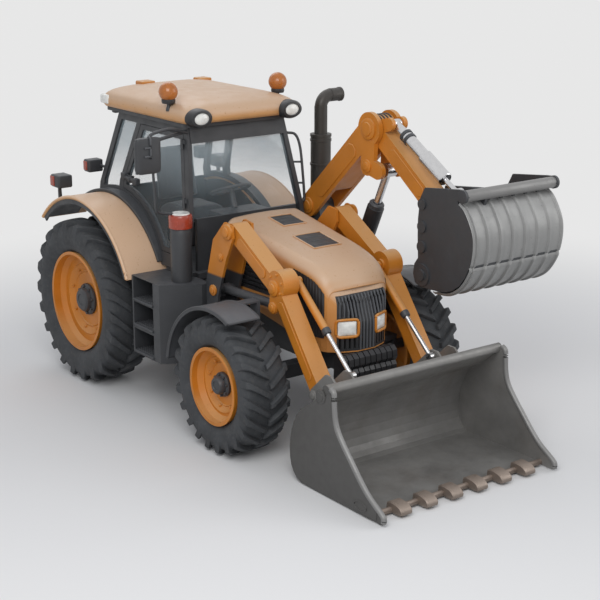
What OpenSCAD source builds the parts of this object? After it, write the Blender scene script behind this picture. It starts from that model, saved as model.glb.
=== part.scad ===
// Backhoe loader: utility tractor with a front loader and a digging arm at its left side.
// Millimetres. +X is forward, +Y is left, +Z is up, and the ground is z = 0.
// Every piece is drawn from the rear axle's middle and then moved by origin_x and origin_y.

/* [Wheels] */
// distance from rear axle to front axle
wheelbase = 2436; // [2300:2600]
// rear tyre radius over its lugs
rear_r = 800; // [740:860]
// front tyre radius over its lugs
front_r = 604; // [560:640]
// rear tyre width
rear_w = 470; // [400:520]
// front tyre width
front_w = 440; // [360:480]
// middle of each rear tyre outside the cab side
rear_out = 230; // [225:280]
// middle of each front tyre from the centre line
front_track_y = 945; // [930:990]
// height of the rear tyre from its rim to its lugs
rear_wall = 320; // [280:360]
// height of the front tyre from its rim to its lugs
front_wall = 269; // [230:300]
// height of the tyre lugs
lug_h = 42; // [25:55]
// lugs on each side of a tyre
lug_count = 16; // [12:20]

/* [Steering] */
// kingpin distance from the centre line
kingpin_y = 740; // [720:770]
// kingpin radius
kingpin_r = 30; // [24:36]

/* [Cab] */
// top of the cab floor
floor_z = 1290; // [1240:1330]
// underside of the roof
roof_z = 2600; // [2500:2700]
// roof height over the cab sides
roof_h = 280; // [240:320]
// height of the dark band under the roof
band_h = 40; // [25:60]
// half width of the cab at the floor
cab_half = 700; // [680:720]
// inward lean of the cab sides in degrees
cab_lean = 7; // [5:9]
// thickness of a cab side
side_t = 45; // [35:60]
// thickness of the glass
glass_t = 10; // [6:14]
// fender radius around the rear axle, outside
fender_r = 1025; // [980:1060]

/* [Hood] */
// hood start behind
hood_x0 = 1600; // [1550:1650]
// hood front edge before the front axle
hood_reach = 564; // [500:600]
// hood height at its back
hood_z = 1816; // [1760:1850]
// half width of the hood at its back
hood_half = 428; // [400:435]
// hood wall
hood_t = 14; // [10:20]

/* [Loader] */
// middle of each loader arm from the centre line
arm_y = 570; // [560:580]
// loader arm width
arm_w = 160; // [140:170]
// front bucket half width outside
bucket_half = 934; // [880:960]
// loader pin radius
pin_r = 30; // [24:36]

/* [Digging arm] */
// gap from the cab side to the near side of the boom
boom_gap = 20; // [15:40]
// boom width
boom_w = 280; // [260:300]
// plate thickness of the boom
boom_plate = 45; // [35:55]
// digging bucket width
dig_w = 1080; // [900:1200]
// digging arm pin radius
dig_pin_r = 34; // [28:40]

/* [Clearances] */
// gap between pieces that sit on one another
seat = 0.3; // [0.2:1]
// gap beside a part that swings
swing_gap = 6; // [5:10]
// radial play of a pin in its bore
play = 0.4; // [0.2:0.5]

/* [Hidden] */
rear_rim_r = rear_r - rear_wall;
front_rim_r = front_r - front_wall;
hood_x1 = wheelbase + hood_reach;
boom_y0 = cab_half + boom_gap;
rear_track_y = cab_half + rear_out;
// wheelbase at which the loader's outlines are drawn, and how far the loader is moved from there
drawn_base = 2436;
ahead_x = wheelbase - drawn_base;
// box of the whole machine in x and y, which sets the origin
tail_x = -900;
lip_x = 4480 + ahead_x;
dig_y1 = boom_y0 + dig_w;
mirror_y1 = 1220;
origin_x = (tail_x + lip_x) / 2;
origin_y = (dig_y1 - mirror_y1) / 2;
amber = [0.95, 0.6, 0.12];
dark = [0.18, 0.19, 0.2];
steel = [0.62, 0.63, 0.65];
black = [0.08, 0.08, 0.09];
pane = [0.6, 0.75, 0.8, 0.4];
red = [0.75, 0.1, 0.08];

// pins of the linkages, as [x, z]
lift_pin = [2020, 1810];
tip_pin = [3250, 660];
lift_foot = [1780, 1235];
lift_eye = [2640, 1265];
tilt_foot = [2690, 1480];
tilt_eye = [3440, 830];
post_x = 1275;
post_y = boom_y0 + boom_w / 2;
boom_pin = [1307, 1746];
elbow_pin = [2208, 2600];
boom_foot = [1900, 1310];
boom_eye = [2330, 2230];
dig_pin = [3060, 1990];
crowd_foot = [2420, 2660];
crowd_eye = [3250, 2165];
front_z = front_r;
rear_z = rear_r;
// underside of the engine's support over the front axle
support_z = front_z + 97;
// rear edge of the loader towers, and the inner sides of the tanks
tower_x = 1660 + ahead_x;
tank_y = cab_half - 80;

// an outline in x and z, drawn from y0 to y1
module slab(y0, y1) {
  translate([0, y1, 0]) rotate([90, 0, 0]) linear_extrude(y1 - y0) children();
}
// an outline in y and z, drawn from x0 to x1
module wall(x0, x1) {
  translate([x0, 0, 0]) rotate([90, 0, 90]) linear_extrude(x1 - x0) children();
}
// moves the loader with the front axle
module ahead() {
  translate([ahead_x, 0, 0]) children();
}
// a round bar along y at p = [x, z]
module bar_y(p, r, y0, y1) {
  translate([p[0], y1, p[1]]) rotate([90, 0, 0]) cylinder(r = r, h = y1 - y0, $fn = 48);
}
// a box from one corner to the other
module box(a, b) {
  translate(a) cube(b - a);
}
// the same piece on both sides
module both() {
  children();
  mirror([0, 1, 0]) children();
}
// a straight bar outline of half width w from p to q with round ends
module link(p, q, w) {
  d = q - p;
  len = norm(d);
  translate(p) rotate(atan2(d[1], d[0])) {
    translate([0, -w]) square([len, 2 * w]);
    circle(r = w, $fn = 48);
    translate([len, 0]) circle(r = w, $fn = 48);
  }
}
// a straight round bar from point a to point b
module strut(a, b, r) {
  d = b - a;
  translate(a) rotate([0, acos(d[2] / norm(d)), atan2(d[1], d[0])]) cylinder(r = r, h = norm(d), $fn = 32);
}

// gearbox, engine block, rear axle, front support and drawbar
module drivetrain() color(dark) {
  difference() {
    union() {
      box([-350, -210, 420], [1500, 210, 1150]);
      box([1499, -230, support_z + 4], [hood_x1 - 300, 230, 1330]);
      box([hood_x1 - 700, -160, support_z], [hood_x1 + 24, 160, 870]);
      box([hood_x1 - 350, -200, support_z], [hood_x1 + 24, 200, 840]);
      box([tail_x, -45, 400], [-300, 45, 440]);
      bar_y([0, rear_z], 130, 30 - rear_track_y, rear_track_y - 30);
      bar_y([0, rear_z], 190, -rear_track_y - 30, 30 - rear_track_y);
      bar_y([0, rear_z], 190, rear_track_y - 30, rear_track_y + 30);
      bar_y([0, rear_z], 50, -rear_track_y - 80, rear_track_y + 80);
      both() box([tower_x - 20, 205, 940], [tower_x + 90, 685, 1060]);
      box([hood_x0 + 100, 20.4 - hood_half, 1180], [hood_x0 + 140, hood_half - 20.4, 1230]);
      box([hood_x1 - 400, -365.4, 1180], [hood_x1 - 360, 365.4, 1230]);
      both() box([1060, 205, 900], [1300, tank_y - seat, 1000]);
    }
    translate([tail_x + 60, 0, 390]) cylinder(r = 16, h = 60, $fn = 48);
  }
}

// front axle beam with a kingpin boss at each end
module front_axle() color(dark) {
  difference() {
    union() {
      box([wheelbase - 65, -kingpin_y, front_z - 60], [wheelbase + 65, kingpin_y, front_z + 60]);
      box([wheelbase - 110, -150, front_z + 40], [wheelbase + 110, 150, support_z - seat]);
      for (s = [-1, 1]) translate([wheelbase, s * kingpin_y, front_z - 64]) cylinder(r = 65, h = 128, $fn = 48);
    }
    for (s = [-1, 1]) translate([wheelbase, s * kingpin_y, front_z - 100])
      cylinder(r = kingpin_r + play, h = 200, $fn = 48);
  }
}

// steering knuckle with stub axle, fender post and fender, on the left
module knuckle() color(dark) {
  top = front_z + front_r + 92;
  translate([wheelbase, kingpin_y, front_z - 120]) cylinder(r = kingpin_r, h = 240, $fn = 48);
  for (z = [front_z - 118, front_z + 68]) {
    translate([wheelbase, kingpin_y, z]) cylinder(r = 62, h = 50, $fn = 48);
    box([wheelbase - 62, kingpin_y, z], [wheelbase + 62, kingpin_y + 110, z + 50]);
  }
  box([wheelbase - 62, kingpin_y + 80, front_z - 118], [wheelbase + 62, kingpin_y + 110, front_z + 118]);
  bar_y([wheelbase, front_z], 45, kingpin_y + 100, front_track_y + 100);
  box([wheelbase - 55, kingpin_y - 62, front_z + 70], [wheelbase + 55, kingpin_y + 30, front_z + 118]);
  box([wheelbase - 55, kingpin_y - 62, front_z + 70], [wheelbase + 55, kingpin_y - 32, top]);
  box([wheelbase - 55, kingpin_y - 62, top - 14], [wheelbase + 55, 855, top]);
  slab(850, 1170) intersection() {
    difference() {
      translate([wheelbase, front_z]) circle(r = front_r + 92, $fn = 96);
      translate([wheelbase, front_z]) circle(r = front_r + 78, $fn = 96);
    }
    translate([wheelbase, front_z]) polygon([[0, 0], [420, 900], [-1000, 900], [-1000, 120]]);
  }
}
module knuckle_left() knuckle();
module knuckle_right() mirror([0, 1, 0]) knuckle();

// bar-lug tyre: columns of points across the tread, lugs in two staggered slanted rows
module tyre(rad, w, rim) {
  low = rad - lug_h;
  mid = rim + 0.5 * (low - rim);
  cols = [[-0.36, rim, rim, 0.5], [-0.5, mid, mid, 0.5], [-0.49, low - 40, rad - 40, 0.55],
    [-0.43, low - 8, rad - 5, 0.5], [-0.05, low, rad, 0.05], [0, low, low, 0],
    [0.05, low, rad, 0.05], [0.43, low - 8, rad - 5, 0.5], [0.49, low - 40, rad - 40, 0.55],
    [0.5, mid, mid, 0.5], [0.36, rim, rim, 0.5]];
  phase = [0, 0.36, 0.5, 0.86];
  m = len(cols);
  n = 4 * lug_count;
  pts = [for (i = [0 : n - 1]) for (j = [0 : m - 1])
    let (k = i % 4, up = (j < 5) ? (k < 2) : (k > 1), r = up ? cols[j][2] : cols[j][1],
      a = 360 / lug_count * (floor(i / 4) + phase[k] + cols[j][3]))
    [r * cos(a), cols[j][0] * w, r * sin(a)]];
  tris = [for (i = [0 : n - 1]) for (j = [0 : m - 1])
    let (a = i * m + j, b = ((i + 1) % n) * m + j, c = ((i + 1) % n) * m + (j + 1) % m, d = i * m + (j + 1) % m)
    each [[a, b, c], [a, c, d]]];
  color(black) polyhedron(pts, tris, convexity = 6);
}
module tyre_front_left() translate([wheelbase, front_track_y, front_z]) tyre(front_r, front_w, front_rim_r);
module tyre_front_right() translate([wheelbase, -front_track_y, front_z]) tyre(front_r, front_w, front_rim_r);
module tyre_rear_left() translate([0, rear_track_y, rear_z]) tyre(rear_r, rear_w, rear_rim_r);
module tyre_rear_right() translate([0, -rear_track_y, rear_z]) tyre(rear_r, rear_w, rear_rim_r);

// rim for a left wheel, turned about its axle: [radius, outward distance]
module rim(rad, half, face, bore) color(amber) {
  rotate([-90, 0, 0]) rotate_extrude($fn = 96) polygon([
    [rad - 1.2, -half], [rad + 8, -half], [rad + 8, -half - 10], [rad - 22, -half - 10],
    [rad - 22, face - 60], [rad * 0.78, face - 60], [rad * 0.62, face - 25], [bore, face - 25],
    [bore, face + 18], [rad * 0.27, face + 18], [rad * 0.27, face], [rad * 0.6, face],
    [rad * 0.7, face + 30], [rad - 60, face + 30], [rad - 22, face + 75], [rad - 22, half + 10],
    [rad + 8, half + 10], [rad + 8, half], [rad - 1.2, half]]);
}
module rim_front_left() translate([wheelbase, front_track_y, front_z]) rim(front_rim_r, 195, 75, 45 + play);
module rim_front_right() mirror([0, 1, 0]) rim_front_left();
module rim_rear_left() translate([0, rear_track_y, rear_z]) rim(rear_rim_r, 200, 60, 50 + play);
module rim_rear_right() mirror([0, 1, 0]) rim_rear_left();

// a section of the hood: half width, underside and top, with rounded top edges, less wall t
module hood_ring(x, half, low, top, r, t) {
  h = half - t;
  z = top - t - r;
  arc = [for (a = [0 : 15 : 90]) [h - r + r * cos(a), z + r * sin(a)]];
  back = [for (a = [90 : -15 : 0]) [r - h - r * cos(a), z + r * sin(a)]];
  wall(x, x + 2) polygon(concat([[h, low]], arc, back, [[-h, low]]));
}
// outer form of the hood less wall t
module hood_form(t) {
  hull() {
    hood_ring(hood_x0, hood_half, 1150, hood_z, 110, t);
    hood_ring(hood_x1 - 420, 388, 1080, 1656, 105, t);
    hood_ring(hood_x1 - 200, 360, 1080, 1600, 100, t);
    hood_ring(hood_x1 - 95 - t, 342, 890, 1530, 95, t);
    hood_ring(hood_x1 - 42 - t, 319, 890, 1450, 80, t);
    hood_ring(hood_x1 + 40 - t, 240, 890, 1330, 60, t);
    hood_ring(hood_x1 + 100 - t, 90, 890, 1150, 40, t);
  }
}
module hood_shell() {
  difference() {
    hood_form(0);
    translate([-4, 0, -6]) hood_form(hood_t);
  }
}
// cut regions of the hood: side panels, front grille and headlamps, each grown by g
module side_cut(g) {
  both() wall(hood_x0 + 120 - g, hood_x1 - 360 + g) polygon([[300, 1240 - g], [300, 1560 + g], [500, 1560 + g], [500, 1240 - g]]);
}
module nose_cut(g) {
  box([hood_x1 - 70, -262 - g, 900 - g], [hood_x1 + 200, 262 + g, 1380 + g]);
}
module lamp_cut(g) {
  both() box([hood_x1 - 70, 108 - g, 1040 - g], [hood_x1 + 200, 255 + g, 1165 + g]);
}
module hood() color(amber) {
  difference() {
    hood_shell();
    side_cut(0);
    nose_cut(0);
  }
}
module grilles() color(black) {
  difference() {
    intersection() {
      hood_shell();
      union() {
        side_cut(-seat);
        nose_cut(-seat);
      }
    }
    lamp_cut(0);
    for (z = [1270 : 40 : 1540]) both() box([hood_x0 + 140, 300, z], [hood_x1 - 380, 500, z + 16]);
    for (y = [-240 : 40 : 240]) box([hood_x1 - 70, y - 9, 920], [hood_x1 + 200, y + 9, 1020]);
    for (y = [-240 : 40 : 240]) box([hood_x1 - 70, y - 9, 1185], [hood_x1 + 200, y + 9, 1360]);
  }
}
// headlamps in the nose and work lamps under the roof's front corners
module front_lamps() color([0.9, 0.9, 0.85]) {
  intersection() {
    hood_shell();
    lamp_cut(-seat);
  }
  both() wall(1305 + seat, 1345) translate([cab_half - 200, roof_z + 92]) circle(r = 62, $fn = 48);
}
module rear_lamps() color(red) {
  both() box([-498, cab_half - 125, 1975], [-468 - seat, cab_half + 15, 2075]);
  both() box([-640, 880, 1835], [-600, 1010, 1935]);
  both() slab(930, 960) polygon([[-620, 1632], [-590, 1638], [-590, 1700], [-602, 1836], [-620, 1836]]);
}
module front_weights() color(black) {
  x = hood_x1 + 24 + seat;
  for (i = [0 : 9]) slab(-295 + i * 60, -295 + i * 60 + 50)
    translate([x, 0]) polygon([[0, 660], [40, 625], [95, 622], [130, 660], [134, 720], [112, 752], [140, 790], [134, 850],
      [95, 884], [40, 884], [0, 860]]);
  box([x, -295, 690], [x + 56, 295, 840]);
}

// turns a flat left side to the cab's lean
module lean() {
  translate([0, cab_half, floor_z]) rotate([cab_lean, 0, 0]) translate([0, -cab_half, -floor_z]) children();
}
side_top = floor_z + (roof_z + 8 - floor_z) / cos(cab_lean);
// outline of a cab side, its door or front window and its quarter window, each drawn in by g
module side_2d() {
  difference() {
    polygon([[1345, floor_z + 6], [1330, 1790], [1155, side_top], [-70, side_top], [-345, 1880], [-345, floor_z + 6]]);
    translate([0, rear_z]) circle(r = fender_r + 10, $fn = 128);
    polygon([[-400, 0], [0, rear_z], [900, rear_z], [900, 1292], [-400, 1292]]);
  }
}
module door_2d(g) {
  difference() {
    polygon([[1285 - g, 1420 + g], [1268 - g, 1790], [1108 - g, 2540 - g], [345 + g, 2540 - g],
      [110 + g, 1960], [110 + g, 1420 + g]]);
    translate([0, rear_z]) circle(r = fender_r + 65 + g, $fn = 128);
  }
}
module quarter_2d(g) {
  difference() {
    polygon([[270 - g, 2540 - g], [-20 + g, 2540 - g], [-265 + g, 1915 + g], [-265 + g, 1700], [20 - g, 1700], [35 - g, 1960]]);
    translate([0, rear_z]) circle(r = fender_r + 65 + g, $fn = 128);
  }
}
module cab_frame() color(dark) {
  lean() slab(cab_half - side_t, cab_half) difference() {
    side_2d();
    door_2d(0);
    quarter_2d(0);
  }
  mirror([0, 1, 0]) lean() slab(cab_half - side_t, cab_half) difference() {
    side_2d();
    door_2d(0);
    quarter_2d(0);
  }
  mirror([0, 1, 0]) lean() hinge_half(1, swing_gap);
  roof_layer(-275, 1225, cab_half - 115, 70, roof_z, band_h);
  slab(-cab_half + 178, cab_half - 178) polygon([[1166, 2450], [1196, 2450], [1162, roof_z + 1], [1132, roof_z + 1]]);
  both() strut([-270, cab_half - 105, 2025], [-468, cab_half - 105, 2025], 14);
  strut([1140, 155 - cab_half, 2560], [1395, 220 - mirror_y1, 2560], 16);
  box([1385, -mirror_y1, 2280], [1410, 240 - mirror_y1, 2585]);
}
// half a hinge on the door's axis: low halves on the door, high halves on the post
hinge_out = 16;
module hinge_half(high, g) {
  foot = [1268 - g, cab_half + hinge_out, 1790];
  top = [1108 - g, cab_half + hinge_out, 2540];
  for (t = [0.12, 0.82]) {
    a = foot + (top - foot) * (t + high * 0.06);
    b = a + (top - foot) * (0.06 - seat / 700);
    strut(a, b, 13);
    x = high == 1 ? [g + 2, 40] : [-35, 0];
    slab(cab_half - (high == 1 ? -seat : 1), cab_half + hinge_out)
      polygon([[a[0] + x[0], a[2] + 4], [a[0] + x[1], a[2] + 4], [b[0] + x[1], b[2] - 4], [b[0] + x[0], b[2] - 4]]);
  }
}
module door_frame() color(dark) {
  mirror([0, 1, 0]) lean() {
    slab(cab_half - 40, cab_half) difference() {
      door_2d(swing_gap);
      door_2d(swing_gap + 45);
    }
    slab(cab_half - 1, cab_half + 30) polygon([[142, 1990], [155, 2030], [300, 2030], [290, 1990]]);
    hinge_half(0, swing_gap);
  }
}
module door_glass() color(pane) {
  mirror([0, 1, 0]) lean() slab(cab_half - 25, cab_half - 25 + glass_t) door_2d(swing_gap + 45 + seat);
}
// the space between the leaning cab sides, which trims the front and rear panes
module pane_wall() {
  tilt = tan(cab_lean);
  low = cab_half - side_t / cos(cab_lean) - 2 * seat - (1780 - floor_z) * tilt;
  high = cab_half - side_t / cos(cab_lean) - 2 * seat - (roof_z - floor_z) * tilt;
  wall(-600, 1500) polygon([[-low, 1780 + seat], [low, 1780 + seat], [high, roof_z - seat], [-high, roof_z - seat]]);
}
module cab_glass() color(pane) {
  intersection() {
    slab(-700, 700) polygon([[1291, 1780], [1301, 1780], [1127, roof_z], [1117, roof_z]]);
    pane_wall();
  }
  intersection() {
    slab(-700, 700) polygon([[-337, 1800 + seat], [-327, 1800 + seat], [-25, roof_z], [-35, roof_z]]);
    pane_wall();
  }
  lean() slab(cab_half - 30, cab_half - 30 + glass_t) {
    door_2d(seat);
    quarter_2d(seat);
  }
  mirror([0, 1, 0]) lean() slab(cab_half - 30, cab_half - 30 + glass_t) quarter_2d(seat);
}
// floor, inner walls beside the wheels, rear wall, bulkhead, dash and steering wheel
module cab_floor() color(dark) {
  in_y = cab_half - 100;
  box([-345, -in_y, floor_z - 50], [1400, in_y, floor_z]);
  box([1000, -cab_half, floor_z - 30], [1350, cab_half, floor_z]);
  both() slab(in_y - 2, in_y + 22) intersection() {
    translate([0, rear_z]) circle(r = fender_r - 25 - seat, $fn = 128);
    translate([-345, floor_z - 50]) square([1290, 600]);
  }
  box([-345, -in_y, floor_z - 50], [-320, in_y, 1755]);
  box([-345, 18 - in_y, 1750], [-320, in_y - 18, 1800]);
  box([1290, 40 - in_y, floor_z - 10], [1325, in_y - 40, 1780]);
  box([1060, -260, 1500], [1291, 260, 1780]);
  box([1090, -60, floor_z - 5], [1200, 60, 1501]);
  strut([1110, 0, 1780], [1050, 0, 1935], 28);
  translate([1045, 0, 1945]) rotate([0, -22, 0]) {
    rotate_extrude($fn = 64) translate([185, 0]) circle(r = 15, $fn = 24);
    for (a = [0, 120, 240]) rotate(a) translate([0, -16, -10]) cube([185, 32, 14]);
    translate([0, 0, -25]) cylinder(r = 45, h = 35, $fn = 32);
  }
}
module seat_unit() color(black) {
  box([150, -180, floor_z + seat], [500, 180, 1560]);
  box([120, -250, 1560], [620, 250, 1690]);
  slab(-240, 240) polygon([[100, 1690], [210, 1690], [110, 2230], [10, 2230]]);
}
// a flat layer with round corners of radius r, from x0 to x1 and half wide to each side
module roof_layer(x0, x1, half, r, z, h) {
  translate([0, 0, z]) linear_extrude(h) {
    translate([x0 + r, -half]) square([x1 - x0 - 2 * r, 2 * half]);
    translate([x0, -half + r]) square([x1 - x0, 2 * half - 2 * r]);
    for (x = [x0 + r, x1 - r]) for (y = [r - half, half - r]) translate([x, y]) circle(r = r, $fn = 32);
  }
}
module roof() color(amber) roof_form();
module roof_form() {
  z = roof_z + band_h + seat;
  hull() {
    roof_layer(-295, 1285, cab_half - 90, 90, z, 4);
    roof_layer(-308, 1305, cab_half - 76, 110, z + 35, 40);
    roof_layer(-290, 1285, cab_half - 92, 120, z + 120, 4);
    roof_layer(-215, 1160, cab_half - 190, 180, z + 180, 4);
    roof_layer(-20, 860, cab_half - 380, 200, z + roof_h - band_h - 30, 4);
  }
}
module beacons() color([0.95, 0.5, 0.05]) {
  z = roof_z + 305;
  difference() {
    both() translate([962, cab_half - 90, 0]) {
      translate([0, 0, roof_z + 100]) cylinder(r = 20, h = 150, $fn = 32);
      translate([0, 0, z - 78]) cylinder(r = 60, h = 30, $fn = 48);
      translate([0, 0, z]) sphere(r = 88, $fn = 48);
    }
    translate([0, 0, seat]) roof_form();
  }
}
// rear wheel fenders, one curved shell a side with a rolled edge
module rear_fenders() color(amber) {
  both() slab(cab_half - 100, rear_track_y + 155) intersection() {
    difference() {
      translate([0, rear_z]) circle(r = fender_r, $fn = 128);
      translate([0, rear_z]) circle(r = fender_r - 25, $fn = 128);
    }
    translate([0, rear_z]) polygon([[0, 0], [1200, 520], [1200, 1500], [-1200, 1500], [-1200, 1150]]);
  }
}
// entry steps and tank on the right
module step_box() color(dark) {
  difference() {
    translate([0, 0, 520]) linear_extrude(floor_z - 30 - seat - 520)
      polygon([[960, -tank_y], [960, -cab_half - 350], [1440, -cab_half - 350], [1640, -cab_half - 20], [1640, -tank_y]]);
    for (z = [545, 800, 1040]) box([985, -cab_half - 400, z], [1330, -cab_half - 130, z + 215]);
  }
}
// left tank with the bearing block of the digging arm
module swing_base() color(dark) {
  difference() {
    translate([0, 0, 520]) linear_extrude(floor_z - 30 - seat - 520)
      polygon([[960, tank_y], [960, post_y + 280], [1420, post_y + 280], [1640, boom_y0], [1640, tank_y]]);
    translate([post_x, post_y, 800]) cylinder(r = 80 + play, h = 600, $fn = 64);
  }
}
module air_intake() color(black) {
  translate([1415, -cab_half - 90, floor_z - 30]) cylinder(r = 96, h = 480, $fn = 48);
  translate([1415, -cab_half - 90, floor_z + 449]) cylinder(r = 108, h = 150, $fn = 48);
}
// muffler with a pipe that bends outwards at its top
module exhaust() color(steel) {
  translate([1015, post_y + 230, 0]) {
    translate([0, 0, floor_z - 30]) cylinder(r = 45, h = 520, $fn = 32);
    translate([0, 0, 1720]) cylinder(r = 100, h = 630, $fn = 48);
    translate([0, 0, 2340]) cylinder(r = 106, h = 24, $fn = 48);
    translate([0, 0, 2363]) cylinder(r = 64, h = 270, $fn = 48);
    translate([0, 110, 2624]) rotate([90, 0, -90]) rotate_extrude(angle = 90, $fn = 96)
      translate([110, 0]) circle(r = 61, $fn = 48);
    translate([0, 104, 2734]) rotate([-90, 0, 0]) cylinder(r = 64, h = 135, $fn = 48);
  }
}

// loader towers: two plates a side with the arm's pin and the lift cylinder's pin
module loader_towers() color(amber) ahead() {
  both() {
    for (y = [455, 660]) slab(y, y + 25) polygon([[1660, 1060 + seat], [1830, 1060 + seat], [1850, 1200], [1985, 1560], [2090, 1760],
      [2080, 1870], [1960, 1885], [1780, 1700], [1660, 1300]]);
    box([1660, 455, 1060 + seat], [1830, 685, 1090]);
    bar_y(lift_pin, pin_r, 455, 700);
    bar_y(lift_foot, pin_r, 455, 700);
  }
}
knee = [2655, 1440];
module loader_arms() color(amber) ahead() {
  both() difference() {
    union() {
      slab(arm_y - arm_w / 2, arm_y + arm_w / 2) {
        link(lift_pin, knee, 70);
        link(knee, tip_pin, 62);
        translate(knee + [25, 35]) circle(r = 120, $fn = 64);
      }
      for (y = [arm_y - arm_w / 2, arm_y + arm_w / 2 - 25]) slab(y, y + 25) link(knee, lift_eye, 55);
      slab(arm_y - arm_w / 2 - 22, arm_y - arm_w / 2 + 1) link(knee, tilt_foot, 50);
      bar_y(tilt_foot, 28, arm_y - arm_w / 2 - 95, arm_y - arm_w / 2);
    }
    bar_y(lift_pin, pin_r + play, 400, 700);
    bar_y(tip_pin, pin_r + play, 400, 700);
    bar_y(lift_eye, 115, arm_y - 54, arm_y + 54);
  }
}
// front bucket: bent shell, two side plates, teeth and hinge ears
module loader_bucket() color(steel) ahead() {
  back = [[3750, 900], [3690, 850], [3630, 800], [3560, 745], [3480, 694], [3415, 645], [3362, 582], [3322, 512],
    [3294, 440], [3274, 360], [3266, 280], [3270, 200], [3286, 130], [3316, 76], [3360, 36], [3420, 14], [3470, 12]];
  difference() {
    slab(-bucket_half + 20, bucket_half - 20) polygon(concat(back, [[4310, 12]]));
    slab(-bucket_half, bucket_half)
      polygon([[3800, 912], [3765, 882], [3706, 831], [3645, 780], [3574, 724], [3495, 674], [3433, 628], [3383, 568],
        [3345, 501], [3318, 432], [3299, 356], [3291, 280], [3295, 206], [3309, 141], [3334, 95], [3371, 59], [3424, 39],
        [3470, 37], [4500, 37], [4500, 912]]);
  }
  both() slab(bucket_half - 22, bucket_half)
    polygon(concat(back, [[4440, 12], [4466, 18], [4480, 40], [4470, 72], [4440, 95], [4288, 185], [4180, 280], [4079, 386],
      [3980, 490], [3905, 580], [3868, 650], [3850, 728], [3844, 820], [3842, 880], [3825, 912], [3790, 925]]));
  bar_y([3745, 900], 40, -bucket_half, bucket_half);
  bar_y([4306, 36], 24, -bucket_half + 20, bucket_half - 20);
  pitch = (2 * bucket_half - 528) / 5;
  for (i = [0 : 5]) slab(-bucket_half + 209 + i * pitch, -bucket_half + 319 + i * pitch)
    polygon([[4262, 14], [4380, 14], [4402, 34], [4398, 62], [4366, 82], [4290, 86], [4262, 60]]);
  both() {
    for (y = [arm_y - arm_w / 2 - 26, arm_y + arm_w / 2 + 6]) slab(y, y + 20)
      polygon([[3414, 638], [3596, 780], [3480, 880], [3400, 880], [3205, 700], [3205, 620], [3280, 600], [3316, 490]]);
    bar_y(tip_pin, pin_r, arm_y - arm_w / 2 - 26, arm_y + arm_w / 2 + 26);
  }
}
// hydraulic cylinder barrel from its foot pin to its gland, in the plane y0 to y1
module barrel(foot, eye, y, r, len, w, bore) {
  d = eye - foot;
  difference() {
    union() {
      translate([foot[0], y, foot[1]]) rotate([0, 90 - atan2(d[1], d[0]), 0]) cylinder(r = r, h = len, $fn = 48);
      bar_y(foot, r * 1.05, y - w / 2, y + w / 2);
    }
    bar_y(foot, bore + play, y - 200, y + 200);
    translate([foot[0], y, foot[1]]) rotate([0, 90 - atan2(d[1], d[0]), 0])
      translate([0, 0, r * 1.05 + 15]) cylinder(r = r * 0.58 + play, h = len, $fn = 48);
  }
}
// rod with an eye, reaching back into its barrel
module rod(foot, eye, y, r, back, w, hole) {
  d = eye - foot;
  difference() {
    union() {
      translate([eye[0], y, eye[1]]) rotate([0, 90 - atan2(d[1], d[0]), 0])
        translate([0, 0, -back]) cylinder(r = r * 0.58, h = back, $fn = 48);
      bar_y(eye, r * 1.05, y - w / 2, y + w / 2);
    }
    bar_y(eye, hole, y - 200, y + 200);
  }
}
module lift_barrels() color(dark) ahead() both() barrel(lift_foot, lift_eye, arm_y, 40, 760, 100, pin_r);
module lift_rods() color(steel) ahead() both() rod(lift_foot, lift_eye, arm_y, 40, 795, 70, 22);
tilt_y = arm_y - arm_w / 2 - 60;
module tilt_barrels() color(dark) ahead() both() barrel(tilt_foot, tilt_eye, tilt_y, 34, 560, 50, 28);
module tilt_rods() color(steel) ahead() both() rod(tilt_foot, tilt_eye, tilt_y, 34, 740, 50, 18);

// slewing post of the digging arm
module swing_post() color(dark) {
  y0 = boom_y0 + boom_plate + 2;
  y1 = boom_y0 + boom_w - boom_plate - 2;
  translate([post_x, post_y, 900]) cylinder(r = 80, h = 400, $fn = 64);
  translate([post_x, post_y, floor_z - 29]) cylinder(r = 120, h = 60, $fn = 64);
  difference() {
    slab(y0, y1) polygon([[1180, 1320], [1220, 1275], [1340, 1275], [1960, 1262], [1960, 1360], [1500, 1420],
      [1400, 1780], [1340, 1830], [1240, 1830], [1190, 1760]]);
    bar_y(boom_pin, dig_pin_r + play, 0, 2000);
    slab(post_y - 66, post_y + 66) polygon([[1790, 1200], [2000, 1200], [2000, 1500], [1790, 1500]]);
  }
  bar_y(boom_foot, 30, y0, y1);
}
module boom() color(amber) {
  y1 = boom_y0 + boom_w;
  difference() {
    union() {
      for (y = [boom_y0, y1 - boom_plate]) slab(y, y + boom_plate) {
        link(boom_pin, elbow_pin, 110);
        translate(elbow_pin) circle(r = 150, $fn = 64);
        link(elbow_pin, [2190, 2260], 90);
        link([2190, 2260], boom_eye, 75);
      }
      slab(boom_y0 + 1, y1 - 1) link([1620, 2042], [1900, 2308], 108);
      bar_y(boom_pin, dig_pin_r, boom_y0, y1);
    }
    bar_y(elbow_pin, dig_pin_r + play, 0, 2000);
  }
}
module stick() color(amber) {
  y0 = boom_y0 + boom_plate + 6;
  y1 = boom_y0 + boom_w - boom_plate - 6;
  difference() {
    union() {
      slab(y0, y1) {
        link(elbow_pin, dig_pin, 85);
        translate(elbow_pin) circle(r = 120, $fn = 64);
      }
      for (y = [y0, y1 - 40]) slab(y, y + 40) link(elbow_pin, crowd_foot, 60);
      bar_y(crowd_foot, 28, y0, y1);
      bar_y(elbow_pin, dig_pin_r, boom_y0, boom_y0 + boom_w);
    }
    bar_y(dig_pin, dig_pin_r + play, 0, 2000);
  }
}
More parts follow.
